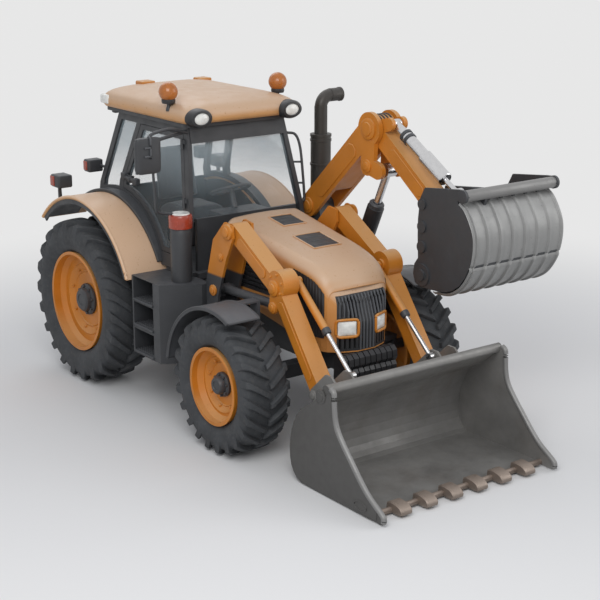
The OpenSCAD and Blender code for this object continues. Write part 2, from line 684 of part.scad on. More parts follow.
// back of the digging bucket from its upper edge to its lip, moved out by t from the bucket's middle
function dig_back(t) = [for (p = [[3412, 2112], [3480, 2068], [3545, 1980], [3590, 1890], [3606, 1800], [3600, 1700], [3575, 1600],
  [3525, 1500], [3455, 1410], [3370, 1350], [3280, 1316], [3124, 1300]])
  p + t * (p - [3230, 1730]) / norm(p - [3230, 1730])];
function backwards(v) = [for (i = [len(v) - 1 : -1 : 0]) v[i]];
dig_ribs = 7;
module dig_bucket() color(steel) {
  y0 = boom_y0;
  y1 = boom_y0 + dig_w;
  step = (dig_w - 50) / dig_ribs;
  side = concat([[2984, 2189], [3389, 2239], [3408, 2120]], dig_back(0), [[2960, 1296], [2885, 1320], [2855, 1400], [2870, 1490],
    [2916, 1552], [2905, 1750], [2905, 1900], [2925, 2080]]);
  slab(y0, y1) polygon(concat(dig_back(-4), backwards(dig_back(-28))));
  for (i = [0 : dig_ribs - 1]) slab(y0 + 32 + i * step, y0 + 18 + (i + 1) * step)
    polygon(concat(dig_back(12), backwards(dig_back(-8))));
  for (y = [y0, y1 - 25]) {
    slab(y, y + 25) polygon(side);
    slab(y, y + 25) polygon([[3380, 2150], [3380, 2239], [3470, 2245], [3525, 2190], [3470, 2135]]);
  }
  slab(boom_y0 + boom_w - boom_plate, boom_y0 + boom_w - boom_plate + 30)
    polygon([[2984, 2180], [3389, 2230], [3480, 2240], [3500, 2180], [3470, 2060], [3330, 2020], [3120, 1910], [3000, 1910], [2960, 2000]]);
  bar_y(dig_pin, dig_pin_r, y0, boom_y0 + boom_w - boom_plate + 30);
  bar_y([3470, 2190], 50, y0, y1);
  for (z = [1840, 1660]) bar_y([2965, z], 52, y0 - 16, y0 + 1);
  bar_y([2960, 2040], 48, y0 - 16, y0 + 1);
  bar_y([2975, 1410], 100, y0 - 14, y0 + 1);
  bar_y([2975, 1410], 52, y0 - 30, y0 + 1);
}
module boom_barrel() color(dark) barrel(boom_foot, boom_eye, post_y, 62, 650, 110, 30);
module boom_rod() color(steel) rod(boom_foot, boom_eye, post_y, 62, 800, 110, 30);
module bucket_barrel() color(amber) barrel(crowd_foot, crowd_eye, post_y, 42, 560, 90, 28);
module bucket_rod() color(steel) rod(crowd_foot, crowd_eye, post_y, 42, 640, 90, 24);

module at_origin() {
  translate([-origin_x, -origin_y, 0]) children();
}
at_origin() drivetrain();
at_origin() front_axle();
at_origin() hood();
at_origin() grilles();
at_origin() front_lamps();
at_origin() rear_lamps();
at_origin() front_weights();
at_origin() cab_floor();
at_origin() cab_frame();
at_origin() roof();
at_origin() beacons();
at_origin() cab_glass();
at_origin() seat_unit();
at_origin() rear_fenders();
at_origin() step_box();
at_origin() swing_base();
at_origin() air_intake();
at_origin() exhaust();
at_origin() loader_towers();
at_origin() door_frame();
at_origin() door_glass();
at_origin() knuckle_left();
at_origin() knuckle_right();
at_origin() tyre_front_left();
at_origin() tyre_front_right();
at_origin() tyre_rear_left();
at_origin() tyre_rear_right();
at_origin() rim_front_left();
at_origin() rim_front_right();
at_origin() rim_rear_left();
at_origin() rim_rear_right();
at_origin() loader_arms();
at_origin() loader_bucket();
at_origin() lift_barrels();
at_origin() lift_rods();
at_origin() tilt_barrels();
at_origin() tilt_rods();
at_origin() swing_post();
at_origin() boom();
at_origin() stick();
at_origin() dig_bucket();
at_origin() boom_barrel();
at_origin() boom_rod();
at_origin() bucket_barrel();
at_origin() bucket_rod();
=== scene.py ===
"""Looks of the backhoe loader: finishes for its solids, and the pieces that they leave out.

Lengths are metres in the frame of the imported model. MX and MY give the place of the rear axle's
middle in that frame, and the functions here take x, y and z measured from there. A shape is a pair
of points (n, 3) and a list of faces. A point of two numbers is x and z.
"""

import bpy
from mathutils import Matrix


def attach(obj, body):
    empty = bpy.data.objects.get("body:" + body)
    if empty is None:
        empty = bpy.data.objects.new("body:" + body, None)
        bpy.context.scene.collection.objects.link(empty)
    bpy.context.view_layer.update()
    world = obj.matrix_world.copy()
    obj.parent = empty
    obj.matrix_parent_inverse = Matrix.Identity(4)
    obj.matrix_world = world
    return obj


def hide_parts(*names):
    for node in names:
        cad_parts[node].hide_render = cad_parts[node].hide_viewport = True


bl_info = {
    "name": "Backhoe loader dressing",
    "version": (1, 0, 0),
    "blender": (4, 5, 0),
    "location": "View3D > Sidebar > Loader",
    "description": "Finishes and surface pieces for the backhoe loader",
    "category": "Object",
}

import bmesh
import bpy
import numpy as np
from mathutils import Vector

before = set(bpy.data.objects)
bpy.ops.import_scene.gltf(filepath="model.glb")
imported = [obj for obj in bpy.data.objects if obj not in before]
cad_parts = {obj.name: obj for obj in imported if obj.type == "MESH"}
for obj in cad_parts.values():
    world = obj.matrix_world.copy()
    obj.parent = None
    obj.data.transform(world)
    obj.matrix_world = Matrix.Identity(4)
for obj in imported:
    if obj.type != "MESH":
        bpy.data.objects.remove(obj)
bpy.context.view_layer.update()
MX, MY = -1.790, -0.290

# Sides of the machine, pins of the arms and the middle of the digging bucket's tube
SIDES = (("left", 1), ("right", -1))
TOWER_PIN, ARM_KNEE, BUCKET_PIN = (2.02, 1.81), (2.655, 1.440), (3.25, 0.66)
BOOM_PIN, ELBOW_PIN, STICK_TIP = (1.307, 1.746), (2.208, 2.600), (3.06, 1.99)
BUCKET_TUBE = (3.47, 0, 2.19)

# Faces that carry pin caps and panels, as y
ARM_INNER, ARM_OUTER, TOWER_OUTER = 0.49, 0.65, 0.685
BOOM_RIGHT, BOOM_LEFT = 0.72, 1.0

# Cylinders: foot, eye and the y of each
LIFT_LINE = ((1.78, 1.235), (2.64, 1.265), (0.57, -0.57))
TILT_LINE = ((2.69, 1.48), (3.44, 0.83), (0.43, -0.43))
BOOM_LINE = ((1.90, 1.31), (2.33, 2.23), (0.86,))
CURL_LINE = ((2.42, 2.66), (3.25, 2.165), (0.86,))


# Surfaces

def grid_faces(rows, cols, wrap_rows=False, wrap_cols=False):
    """Quads between neighbouring points of a rows x cols grid, closed where wrapped."""
    i = np.arange(rows if wrap_rows else rows - 1)
    j = np.arange(cols if wrap_cols else cols - 1)
    a, b = np.meshgrid(i, j, indexing="ij")
    p = a * cols + b
    q = a * cols + (b + 1) % cols
    r = (a + 1) % rows * cols + (b + 1) % cols
    s = (a + 1) % rows * cols + b
    return np.stack([p, q, r, s], -1).reshape(-1, 4)


def sheet(grid, flip=False):
    """An open skin over a grid of points (rows, cols, 3), its faces reversed by flip."""
    faces = grid_faces(*grid.shape[:2])
    return grid.reshape(-1, 3), (faces[:, ::-1] if flip else faces).tolist()


def outward(points, faces):
    """A closed shape with its faces turned outwards, by the signed volume of its fan of triangles."""
    tri = np.array([(f[0], f[k], f[k + 1]) for f in faces for k in range(1, len(f) - 1)])
    a, b, c = (points - points.mean(0))[tri.T]
    return points, faces if np.sum(a * np.cross(b, c)) > 0 else [f[::-1] for f in faces]


def rings(stack, wrap=False):
    """Closed skin over a stack of rings (rows, cols, 3), with flat ends unless it wraps round."""
    rows, cols = stack.shape[:2]
    faces = grid_faces(rows, cols, wrap, True).tolist()
    if not wrap:
        faces += [list(range(cols))[::-1], list(range((rows - 1) * cols, rows * cols))]
    return outward(stack.reshape(-1, 3), faces)


def merged(*shapes):
    """Several shapes as one list of points and faces."""
    points, faces, base = [], [], 0
    for p, f in shapes:
        points.append(p)
        faces += [[k + base for k in face] for face in f]
        base += len(p)
    return np.concatenate(points), faces


def circle(count):
    """Angles of evenly spaced points round a full turn."""
    return np.linspace(0, 2 * np.pi, count, endpoint=False)


def arc(centre, r, start, end, steps):
    """Points on a circle in x and z from one angle to another, in degrees from +X towards +Z."""
    a = np.radians(np.linspace(start, end, steps))
    return np.stack([centre[0] + r * np.cos(a), centre[1] + r * np.sin(a)], 1)


def smooth_path(knots, steps=6):
    """A Catmull-Rom curve through the knots."""
    k = np.asarray(knots, float)
    k = np.concatenate([[2 * k[0] - k[1]], k, [2 * k[-1] - k[-2]]])
    t = np.linspace(0, 1, steps, endpoint=False)[:, None]
    p0, p1, p2, p3 = k[:-3, None], k[1:-2, None], k[2:-1, None], k[3:, None]
    c = 0.5 * (2 * p1 + (p2 - p0) * t + (2 * p0 - 5 * p1 + 4 * p2 - p3) * t ** 2
               + (3 * p1 - p0 - 3 * p2 + p3) * t ** 3)
    return np.concatenate([c.reshape(-1, k.shape[1]), k[-2:-1]])


def tube(path, radius, sides=12):
    """A circle of the given radius carried along a path, turned so that it never twists."""
    path = np.asarray(path, float)
    t = np.gradient(path, axis=0)
    t /= np.linalg.norm(t, axis=1)[:, None]
    up = np.tile([0.0, 0.0, 1.0], (len(path), 1))
    up[np.abs(t[:, 2]) > 0.9] = [0.0, 1.0, 0.0] if abs(t[0, 2]) > 0.9 else [0.0, 0.0, 1.0]
    a = np.cross(t, up)
    a /= np.linalg.norm(a, axis=1)[:, None]
    b = np.cross(t, a)
    w = circle(sides)[None, :, None]
    ring = a[:, None] * np.cos(w) + b[:, None] * np.sin(w)
    return rings((path[:, None] + radius * ring)[:, ::-1])


def turned(profile, centre, axis="y", sides=48):
    """A profile of (radius, distance along the axis) turned about an axis through the centre."""
    r, h = np.asarray(profile, float).T
    w = circle(sides)
    c, s = r[:, None] * np.cos(w), r[:, None] * np.sin(w)
    h = np.broadcast_to(h[:, None], c.shape)
    order = {"x": (h, c, s), "y": (s, h, c), "z": (c, s, h)}[axis]
    return rings(np.stack(order, -1) + np.asarray(centre, float))


def widened(shape, y, ratio):
    """A shape drawn out sideways from the plane at y."""
    points, faces = shape
    return points * [1, ratio, 1] + [0, y * (1 - ratio), 0], faces


def plate(outline, y0, y1, edge):
    """An outline in x and z carried from y0 to y1, its rim drawn in by edge at both faces."""
    p = np.asarray(outline, float)
    area = np.sum(p[:, 0] * np.roll(p[:, 1], -1) - np.roll(p[:, 0], -1) * p[:, 1])
    p = p if area > 0 else p[::-1]
    d = np.roll(p, -1, 0) - p
    n = np.stack([d[:, 1], -d[:, 0]], 1) / np.linalg.norm(d, axis=1)[:, None]
    m = n + np.roll(n, 1, 0)
    m /= np.maximum((m * m).sum(1), 0.6)[:, None] / 2
    small = p - m * edge
    layers = ((small, y0), (p, y0 + edge), (p, y1 - edge), (small, y1))
    return rings(np.stack([np.insert(q, 1, y, axis=1) for q, y in layers])[::-1])


def arched(centre, r0, r1, start, end, y0, y1, edge):
    """A plate between two radii about a centre in x and z, from one angle to another."""
    outline = [arc(centre, r0, start, end, 50), arc(centre, r1, start, end, 50)[::-1]]
    return plate(np.concatenate(outline), y0, y1, edge)


def strip(a, b, half, start, end, y0, y1):
    """A raised panel along the line from a to b in x and z, between two shares of its length."""
    a, b = np.array(a), np.array(b)
    d = b - a
    n = np.array([-d[1], d[0]]) / np.linalg.norm(d) * half
    p, q = a + d * start, a + d * end
    e = d / np.linalg.norm(d) * half * 0.6
    near, far = [p + n, p - e + n * 0.4, p - e - n * 0.4], [q + e - n * 0.4, q + e + n * 0.4, q + n]
    return plate([p - n, q - n, *far, *near], y0, y1, 0.004)


def corner_angles(steps):
    """Angles round a rounded rectangle: four quarter turns of the same number of points."""
    return (np.linspace(0, np.pi / 2, steps) + np.pi / 2 * np.arange(4)[:, None]).ravel()


def rounded_rect(x0, x1, half, r, z, steps=8):
    """One ring: a rectangle from x0 to x1, half wide to each side, with corners of radius r, at z."""
    a = corner_angles(steps)
    x = np.repeat([x1 - r, x0 + r, x0 + r, x1 - r], steps) + r * np.cos(a)
    y = np.repeat([half - r, half - r, r - half, r - half], steps) + r * np.sin(a)
    return np.stack([x, y, np.full(len(a), z)], 1)


def rounded_box(lo, hi, r, steps=5):
    """A box with edges rolled to radius r: rounded rectangles stacked in z, drawn in at both ends."""
    lo, hi = np.asarray(lo, float), np.asarray(hi, float)
    half, mid = (hi - lo) / 2, (hi + lo) / 2
    roll = np.linspace(0, np.pi / 2, steps)
    corner, rise = r * np.sin(roll), r * (1 - np.cos(roll))
    corner = np.maximum(np.concatenate([corner, corner[::-1]]), 1e-4)[:, None]
    z = np.concatenate([lo[2] + rise, hi[2] - rise[::-1]])
    a = corner_angles(steps)
    x = mid[0] + np.repeat([1, -1, -1, 1], steps) * (half[0] - r) + corner * np.cos(a)
    y = mid[1] + np.repeat([1, 1, -1, -1], steps) * (half[1] - r) + corner * np.sin(a)
    return rings(np.stack([x, y, np.broadcast_to(z[:, None], x.shape)], -1))


def bolt_heads(places, axis, r, h):
    """Hexagon heads at the places, standing h out along the axis and turned a little askew."""
    axis = np.asarray(axis, float)
    askew = (0.31, 0.87, 0.39)
    side = np.cross(axis, askew)
    side /= np.linalg.norm(side)
    w = circle(6)[:, None]
    ring = (side * np.cos(w) + np.cross(axis, side) * np.sin(w)) * r
    p, f = rings(np.stack([ring - axis * 0.002, ring + axis * h * 0.8, ring * 0.8 + axis * h]))
    return merged(*[(p + np.asarray(c, float), f) for c in places])


def bolt_circle(x, z, r, y, start, size, height):
    """Eight bolt heads about the y axis through x and z, the first at an angle in degrees."""
    a = np.radians(np.arange(0, 360, 45) + start)
    places = np.stack([x + r * np.cos(a), np.full(8, y), z + r * np.sin(a)], 1)
    return bolt_heads(places, (0, 1, 0), size, height)


def mirrored(shape):
    """The same shape on the other side of the middle plane."""
    p, f = shape
    return p * [1, -1, 1], [face[::-1] for face in f]


def on_side(shape, sign):
    """A shape as it is for 1, and mirrored for -1."""
    return shape if sign > 0 else mirrored(shape)


def both(shape):
    """A shape and its mirror image."""
    return merged(shape, mirrored(shape))


def boss(centre, y, r, out, sign):
    """A stepped pin cap at [x, z] on a face at y, standing out to one side."""
    profile = [(r, -0.004), (r, 0.45 * out), (0.86 * r, 0.62 * out), (0.66 * r, 0.66 * out),
               (0.62 * r, 0.92 * out), (0.50 * r, out), (0.001, out)]
    points, faces = on_side(turned(profile, (centre[0], 0, centre[1]), "y", 40), sign)
    return points + [0, y, 0], faces


def bosses(*rows):
    """Several pin caps, each from a row of what boss takes."""
    return merged(*[boss(*row) for row in rows])


def put(name, shape, body, finish, smooth=40):
    """Makes a shape an object that rides a body and has a finish; edges sharper than smooth stay crisp."""
    points, faces = shape
    mesh = bpy.data.meshes.new(name)
    mesh.from_pydata((points + [MX, MY, 0]).tolist(), [], faces)
    mesh.validate()
    mesh.update()
    mesh.shade_smooth()
    mesh.set_sharp_from_angle(angle=np.radians(smooth))
    obj = bpy.data.objects.new(name, mesh)
    bpy.context.scene.collection.objects.link(obj)
    mesh.materials.append(material(finish))
    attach(obj, body)
    return obj


# Shader nodes

def feed(tree, node, inputs):
    """Sets each named input of a node to a constant, or links it to another node's output."""
    for key, value in inputs.items():
        if isinstance(value, bpy.types.NodeSocket):
            tree.links.new(value, node.inputs[key])
        else:
            node.inputs[key].default_value = value


def add(tree, kind, inputs, **settings):
    """A new shader node with its settings and inputs."""
    node = tree.nodes.new("ShaderNode" + kind)
    for key, value in settings.items():
        setattr(node, key, value)
    feed(tree, node, inputs)
    return node


def coordinates(tree, kind="Object"):
    """The place of a surface point, or its normal."""
    return tree.nodes.new("ShaderNodeTexCoord").outputs[kind]


def noise(tree, scale, detail=3.0, rough=0.5):
    """Noise on Object coordinates."""
    inputs = {"Vector": coordinates(tree), "Scale": scale, "Detail": detail, "Roughness": rough}
    return add(tree, "TexNoise", inputs).outputs["Fac"]


def ramp(tree, value, span, low, high):
    """A colour or grey that goes from low to high as a value crosses the span."""
    node = add(tree, "ValToRGB", {"Fac": value})
    for stop, place, c in zip(node.color_ramp.elements, span, (low, high)):
        stop.position = place
        stop.color = c if isinstance(c, tuple) else (c, c, c, 1)
    return node.outputs["Color"]


def clouds(tree, scale, low, high, span=(0.3, 0.7), detail=3.0, rough=0.5):
    """Noise that runs from one colour or grey to another."""
    return ramp(tree, noise(tree, scale, detail, rough), span, low, high)


def mix(tree, fac, a, b):
    """Blend of two colours by a factor."""
    return add(tree, "Mix", {"Factor": fac, "A": a, "B": b}, data_type="RGBA").outputs["Result"]


def smooth_range(tree, value, low, high):
    """0 to 1 with soft ends as a value goes from low to high."""
    inputs = {"Value": value, "From Min": low, "From Max": high}
    return add(tree, "MapRange", inputs, interpolation_type="SMOOTHSTEP").outputs["Result"]


def upward(tree, low, high):
    """0 to 1 as the surface turns up, from its own normal."""
    rise = add(tree, "SeparateXYZ", {"Vector": coordinates(tree, "Normal")}).outputs["Z"]
    return smooth_range(tree, rise, low, high)


def place_mask(tree, axis, centre, low, high):
    """0 to 1 as the distance from the plane at centre, along one axis, goes from low to high."""
    place = add(tree, "SeparateXYZ", {"Vector": coordinates(tree)}).outputs[axis]
    off = add(tree, "Math", {0: place, 1: centre}, operation="SUBTRACT").outputs["Value"]
    size = add(tree, "Math", {0: off}, operation="ABSOLUTE").outputs["Value"]
    inputs = {"Value": size, "From Min": low, "From Max": high}
    return add(tree, "MapRange", inputs).outputs["Result"]


def relief(tree, height, strength, distance):
    """A normal that follows a height."""
    inputs = {"Height": height, "Strength": strength, "Distance": distance}
    return add(tree, "Bump", inputs).outputs["Normal"]


def orange_peel(tree):
    """The fine waves of sprayed paint."""
    return relief(tree, noise(tree, 260.0, 2.0), 0.06, 0.002)


def scaled(c, k):
    """A colour made darker or lighter."""
    return tuple(min(v * k, 1.0) for v in c[:3]) + (1.0,)


def colour(name, k=1.0):
    """A colour of the settings as linear red, green, blue and 1, made darker or lighter by k."""
    return scaled(getattr(bpy.context.scene.loader_colours, name), k)


# Finishes: each function fills the node tree of one material

FINISHES, SLOT_OF = {}, {}


def fills(slot):
    """Enters a finish under its function's name, with the slot that it fills."""
    def enter(finish):
        FINISHES[finish.__name__] = finish
        SLOT_OF[finish.__name__] = slot
        return finish
    return enter


def blank(name):
    """A new node material, its tree and its shader."""
    mat = bpy.data.materials.new("finish_" + name)
    mat.use_nodes = True
    return mat, mat.node_tree, mat.node_tree.nodes["Principled BSDF"]


def material(name):
    """The material of a finish, made when it is first asked for."""
    known = bpy.data.materials.get("finish_" + name)
    if known:
        return known
    mat, tree, shader = blank(name)
    FINISHES[name](tree, shader)
    return mat


def paint(tree, shader, base, top, rough=0.42, coat=0.06, metal=0.0, sky_light=(0.25, 0.95)):
    """Paint: cloudy base colour, a paler top colour where the surface looks up that is painted sky light,
    dark specks and orange peel.
    """
    cloud = clouds(tree, 3.0, scaled(base, 0.9), scaled(base, 1.1), detail=5.0)
    # Painted sky light: the top colour takes over as the surface turns up.
    sky_lit = mix(tree, upward(tree, *sky_light), cloud, top)
    specks = clouds(tree, 42.0, 1.0, 0.0, (0.30, 0.37), 6.0, 0.65)
    feed(tree, shader, {
        "Base Color": mix(tree, specks, sky_lit, scaled(base, 0.72)),
        "Roughness": clouds(tree, 9.0, rough - 0.08, rough + 0.14, (0.3, 0.75), 4.0),
        "Normal": orange_peel(tree),
        "Coat Weight": coat, "Coat Roughness": 0.2, "Metallic": metal})


# Every finish that calls paint gets painted sky light on its upward faces from its top colour.
@fills("amber_paint")
def amber_paint(tree, shader):
    """Paint of the arms and rims, with painted sky light on upward faces."""
    paint(tree, shader, colour("amber"), colour("amber_sky_lit"))


@fills("amber_paint")
def body_paint(tree, shader):
    """Paint of the hood, with painted sky light that makes its top pale."""
    paint(tree, shader, colour("body"), colour("body_top"), sky_light=(-0.05, 0.62))


@fills("amber_paint")
def panel_paint(tree, shader):
    """Paint of the roof, paler than the hood's, with painted sky light on upward faces."""
    paint(tree, shader, colour("panel"), colour("body_top"), sky_light=(-0.25, 0.45))


@fills("amber_paint")
def fender_paint(tree, shader):
    """The roof's paint made a little paler for the rear fenders as painted light, with painted sky light on
    upward faces.
    """
    paint(tree, shader, colour("panel", 1.12), colour("body_top", 1.22), sky_light=(-0.25, 0.45))


@fills("amber_paint")
def tower_paint(tree, shader):
    """Arm paint that gives way to the frame's dark paint towards the foot."""
    amber = clouds(tree, 3.0, colour("amber", 0.9), colour("amber", 1.1), detail=5.0)
    feed(tree, shader, {
        "Base Color": mix(tree, place_mask(tree, "Z", 0.0, 1.37, 1.39), colour("charcoal"), amber),
        "Roughness": clouds(tree, 9.0, 0.34, 0.56, (0.3, 0.75), 4.0),
        "Normal": orange_peel(tree)})


@fills("charcoal")
def charcoal_paint(tree, shader):
    """Dark paint of the frame, cab and steps."""
    paint(tree, shader, colour("charcoal"), colour("charcoal", 1.7), 0.5, 0.05)


@fills("charcoal")
def slate_paint(tree, shader):
    """The frame's paint made lighter as painted light, for the knuckles, grille slats, vent bars and mirror
    clamp.
    """
    paint(tree, shader, colour("charcoal", 1.7), colour("charcoal", 2.4), 0.5)


@fills("black_paint")
def black_paint(tree, shader):
    """Black of the grilles, weights and housings."""
    paint(tree, shader, colour("black"), colour("black", 1.8), 0.45, 0.05)


@fills("exhaust_grey")
def exhaust_grey(tree, shader):
    """Heat-browned metal of the muffler."""
    paint(tree, shader, (0.055, 0.05, 0.045, 1.0), (0.09, 0.085, 0.08, 1.0), 0.5, 0.0, 0.4)


@fills("bucket_grey")
def worn_steel(tree, shader):
    """Steel lighter than the bucket's: partly rubbed bare, partly painted light."""
    paint(tree, shader, colour("worn"), colour("worn", 1.2), 0.42, 0.0, 0.3)


@fills("bucket_grey")
def shell_steel(tree, shader):
    """Pale steel of the digging bucket's shell."""
    paint(tree, shader, colour("shell"), colour("shell", 1.25), 0.42, 0.0, 0.3)


@fills("bucket_grey")
def tooth_steel(tree, shader):
    """Browned steel of the cutting edge and teeth."""
    paint(tree, shader, colour("tooth"), colour("tooth", 1.3), 0.45, 0.0, 0.5)


@fills("bucket_grey")
def bucket_steel(tree, shader):
    """Bare working steel: cloudy grey with brown stains, and painted shade that darkens the bucket's outer
    sides.
    """
    cloud = clouds(tree, 2.2, colour("bucket", 0.75), colour("bucket", 1.2), detail=6.0, rough=0.6)
    stain = clouds(tree, 1.3, 0.0, 0.45, (0.5, 0.8), 8.0, 0.7)
    stained = mix(tree, stain, cloud, (0.115, 0.085, 0.06, 1.0))
    # Painted shade: the outer faces of the sides get a darker copy of the steel.
    outer = place_mask(tree, "Y", MY, 0.922, 0.932)
    feed(tree, shader, {
        "Base Color": mix(tree, outer, stained, colour("bucket", 0.375)),
        "Roughness": clouds(tree, 14.0, 0.38, 0.62, (0.3, 0.75), 6.0),
        "Normal": relief(tree, noise(tree, 90.0, 5.0), 0.12, 0.003),
        "Metallic": 0.25})


@fills("tyre")
def tyre_rubber(tree, shader):
    """Dull blue-black rubber with dust caught in a fine grain."""
    cloud = clouds(tree, 5.0, colour("rubber", 0.8), colour("rubber", 1.35), (0.3, 0.72), 6.0)
    dust = clouds(tree, 28.0, 0.0, 0.35, (0.52, 0.75), 7.0, 0.7)
    feed(tree, shader, {
        "Base Color": mix(tree, dust, cloud, (0.13, 0.12, 0.11, 1.0)),
        "Roughness": clouds(tree, 20.0, 0.62, 0.85),
        "Normal": relief(tree, noise(tree, 180.0, 4.0), 0.15, 0.003)})


@fills("glass")
def clear_glass(tree, shader):
    """Thin window glass whose pale blue-grey colour is a painted reflection, less clear towards the roof."""
    feed(tree, shader, {
        # Painted reflection: a pale blue-grey that covers part of the view through, more of it above 1.95 m.
        "Base Color": clouds(tree, 1.5, (0.40, 0.50, 0.55, 1), (0.48, 0.57, 0.61, 1)),
        "Roughness": clouds(tree, 4.0, 0.03, 0.09, (0.3, 0.8)),
        "Alpha": ramp(tree, place_mask(tree, "Z", 0.0, 1.95, 2.35), (0.0, 1.0), 0.07, 0.30),
        "Coat Weight": 0.5})


@fills("chrome")
def chrome(tree, shader):
    """Polished metal of the rods, the bucket's cylinder and the mirror."""
    feed(tree, shader, {
        "Base Color": clouds(tree, 30.0, (0.66, 0.66, 0.67, 1), (0.72, 0.72, 0.73, 1)),
        "Roughness": clouds(tree, 6.0, 0.20, 0.28),
        "Metallic": 1.0})


def lens(tree, shader, tint, gloss):
    """Moulded lamp lens with a fine grain."""
    feed(tree, shader, {
        "Base Color": clouds(tree, 22.0, scaled(tint, 0.85), scaled(tint, 1.1)),
        "Roughness": clouds(tree, 40.0, 0.12, 0.3),
        "Normal": relief(tree, noise(tree, 120.0), 0.1, 0.002),
        "Coat Weight": gloss})


@fills("lamp_clear")
def lamp_clear(tree, shader):
    """White lens of the lamps and markers, and the intake's cap."""
    lens(tree, shader, (0.84, 0.84, 0.80, 1.0), 0.6)


@fills("lamp_red")
def lamp_red(tree, shader):
    """Red lens of the tail lamps and ring of the intake."""
    lens(tree, shader, (0.36, 0.048, 0.022, 1.0), 0.2)


@fills("beacon_amber")
def beacon_amber(tree, shader):
    """Amber globe of the beacons."""
    lens(tree, shader, (0.47, 0.150, 0.028, 1.0), 0.1)


@fills("seat_cover")
def seat_cloth(tree, shader):
    """Woven seat cover: fine waves and soft patches."""
    weave = {"Vector": coordinates(tree), "Scale": 120.0, "Distortion": 1.0}
    wave = add(tree, "TexWave", weave).outputs["Fac"]
    feed(tree, shader, {
        "Base Color": clouds(tree, 6.0, (0.035, 0.037, 0.042, 1), (0.06, 0.062, 0.068, 1)),
        "Roughness": clouds(tree, 50.0, 0.7, 0.9),
        "Normal": relief(tree, wave, 0.25, 0.002),
        "Sheen Weight": 0.3})


NODE_FINISH = {
    "hood": "body_paint", "roof": "panel_paint", "rear_fenders": "fender_paint",
    "knuckle_left": "slate_paint", "knuckle_right": "slate_paint", "loader_bucket": "bucket_steel",
    "front_lamps": "lamp_clear", "beacons": "beacon_amber", "seat_unit": "seat_cloth",
    "grilles": "black_paint", "front_weights": "black_paint", "exhaust": "exhaust_grey",
    "cab_glass": "clear_glass", "door_glass": "clear_glass", "loader_towers": "tower_paint",
    "loader_arms": "amber_paint", "boom": "amber_paint", "stick": "amber_paint",
    "bucket_barrel": "chrome", "tilt_barrels": "amber_paint"}


def node_finish(name):
    """The finish of a solid: by what kind of piece it is, else by its own name."""
    if name.startswith("tyre"):
        return "tyre_rubber"
    if name.startswith("rim"):
        return "amber_paint"
    if name.endswith(("rods", "_rod")):
        return "chrome"
    return NODE_FINISH.get(name, "charcoal_paint")


# Settings

def tint(label, text, value):
    """A colour."""
    return bpy.props.FloatVectorProperty(
        name=label, description=text, subtype="COLOR", size=3, min=0, max=1, default=value)


def point(label, text, value):
    """A place in space."""
    return bpy.props.FloatVectorProperty(
        name=label, description=text, subtype="TRANSLATION", unit="LENGTH", size=3, default=value)


def amount(label, text, value, low, high, unit="NONE"):
    """A number between two limits."""
    return bpy.props.FloatProperty(
        name=label, description=text, default=value, min=low, max=high, unit=unit)


class LoaderColours(bpy.types.PropertyGroup):
    """Paint and material colours."""
    amber: tint("Amber", "Paint of the arms, towers and rims", (0.56, 0.195, 0.018))
    # Painted sky light: the paler colour of the arms' paint on upward faces.
    amber_sky_lit: tint("Amber top", "Paler film on upward faces of the arms", (0.60, 0.31, 0.11))
    body: tint("Body", "Paint of the hood on upright faces", (0.56, 0.24, 0.060))
    panel: tint("Panel", "Paint of the roof and rear fenders on upright faces", (0.60, 0.315, 0.125))
    # Painted sky light: the paler colour of the hood, roof and fender paint on upward faces.
    body_top: tint("Body top", "Hood, roof and fenders on upward faces", (0.60, 0.405, 0.265))
    charcoal: tint("Charcoal", "Frame, cab and steps", (0.042, 0.044, 0.048))
    black: tint("Black", "Grilles and weights", (0.022, 0.022, 0.024))
    bucket: tint("Bucket", "Front bucket", (0.230, 0.224, 0.214))
    # Partly wear, partly painted light: steel made lighter than the bucket's.
    worn: tint("Worn steel", "Rims of the front bucket and tube of the other", (0.215, 0.212, 0.207))
    shell: tint("Shell", "Ribbed shell of the digging bucket", (0.27, 0.27, 0.265))
    tooth: tint("Tooth", "Cutting edge and teeth", (0.245, 0.198, 0.166))
    rubber: tint("Rubber", "Tyres", (0.040, 0.043, 0.047))


class LoaderSizes(bpy.types.PropertyGroup):
    """Sizes of the wheels."""
    wheelbase: amount("Wheelbase", "Rear axle to front axle", 2.436, 2.0, 3.0, "LENGTH")
    front_radius: amount("Front radius", "Front tyre radius over its lugs", 0.604, 0.4, 0.8, "LENGTH")
    rear_radius: amount("Rear radius", "Rear tyre radius over its lugs", 0.800, 0.5, 1.0, "LENGTH")
    lug_height: amount("Lug height", "Height of the tyre lugs", 0.042, 0.01, 0.08, "LENGTH")
    lug_count: bpy.props.IntProperty(
        name="Lugs", description="Lugs on each side of a tyre", default=22, min=8, max=30)


class LoaderStage(bpy.types.PropertyGroup):
    """Camera and light."""
    lens: amount("Lens", "Focal length for a 36 mm sensor", 86.5, 20, 200, "CAMERA")
    eye: point("Eye", "Camera position", (10.395, -7.719, 4.678))
    target: point("Target", "Point the camera looks at", (-0.962, 0.685, 0.642))
    key_power: amount("Key power", "Soft light from the camera's side", 470.0, 0, 10000, "POWER")
    sky: amount("Sky", "Strength of the even light all round", 0.50, 0, 2)
    backdrop: amount("Backdrop", "Grey level of the backdrop", 0.80, 0, 1)


# Stage

def look_at(obj, eye, target):
    """Places an object at eye with its -Z axis towards target."""
    d = Vector(target) - Vector(eye)
    obj.location = eye
    obj.rotation_euler = d.to_track_quat("-Z", "Y").to_euler()


def seen_ray(tree):
    """1 for rays from the camera, mirrored or passed through glass, else 0."""
    rays = tree.nodes.new("ShaderNodeLightPath").outputs
    total = rays["Is Camera Ray"]
    for name in ("Is Glossy Ray", "Is Transmission Ray"):
        total = add(tree, "Math", {0: total, 1: rays[name]}, operation="MAXIMUM").outputs["Value"]
    return total


def blend_out(tree, fac, a, b, output):
    """Sends a blend of two shaders by a factor to the tree's output."""
    blend = add(tree, "MixShader", {0: fac, 1: a, 2: b})
    tree.links.new(blend.outputs["Shader"], tree.nodes[output].inputs["Surface"])


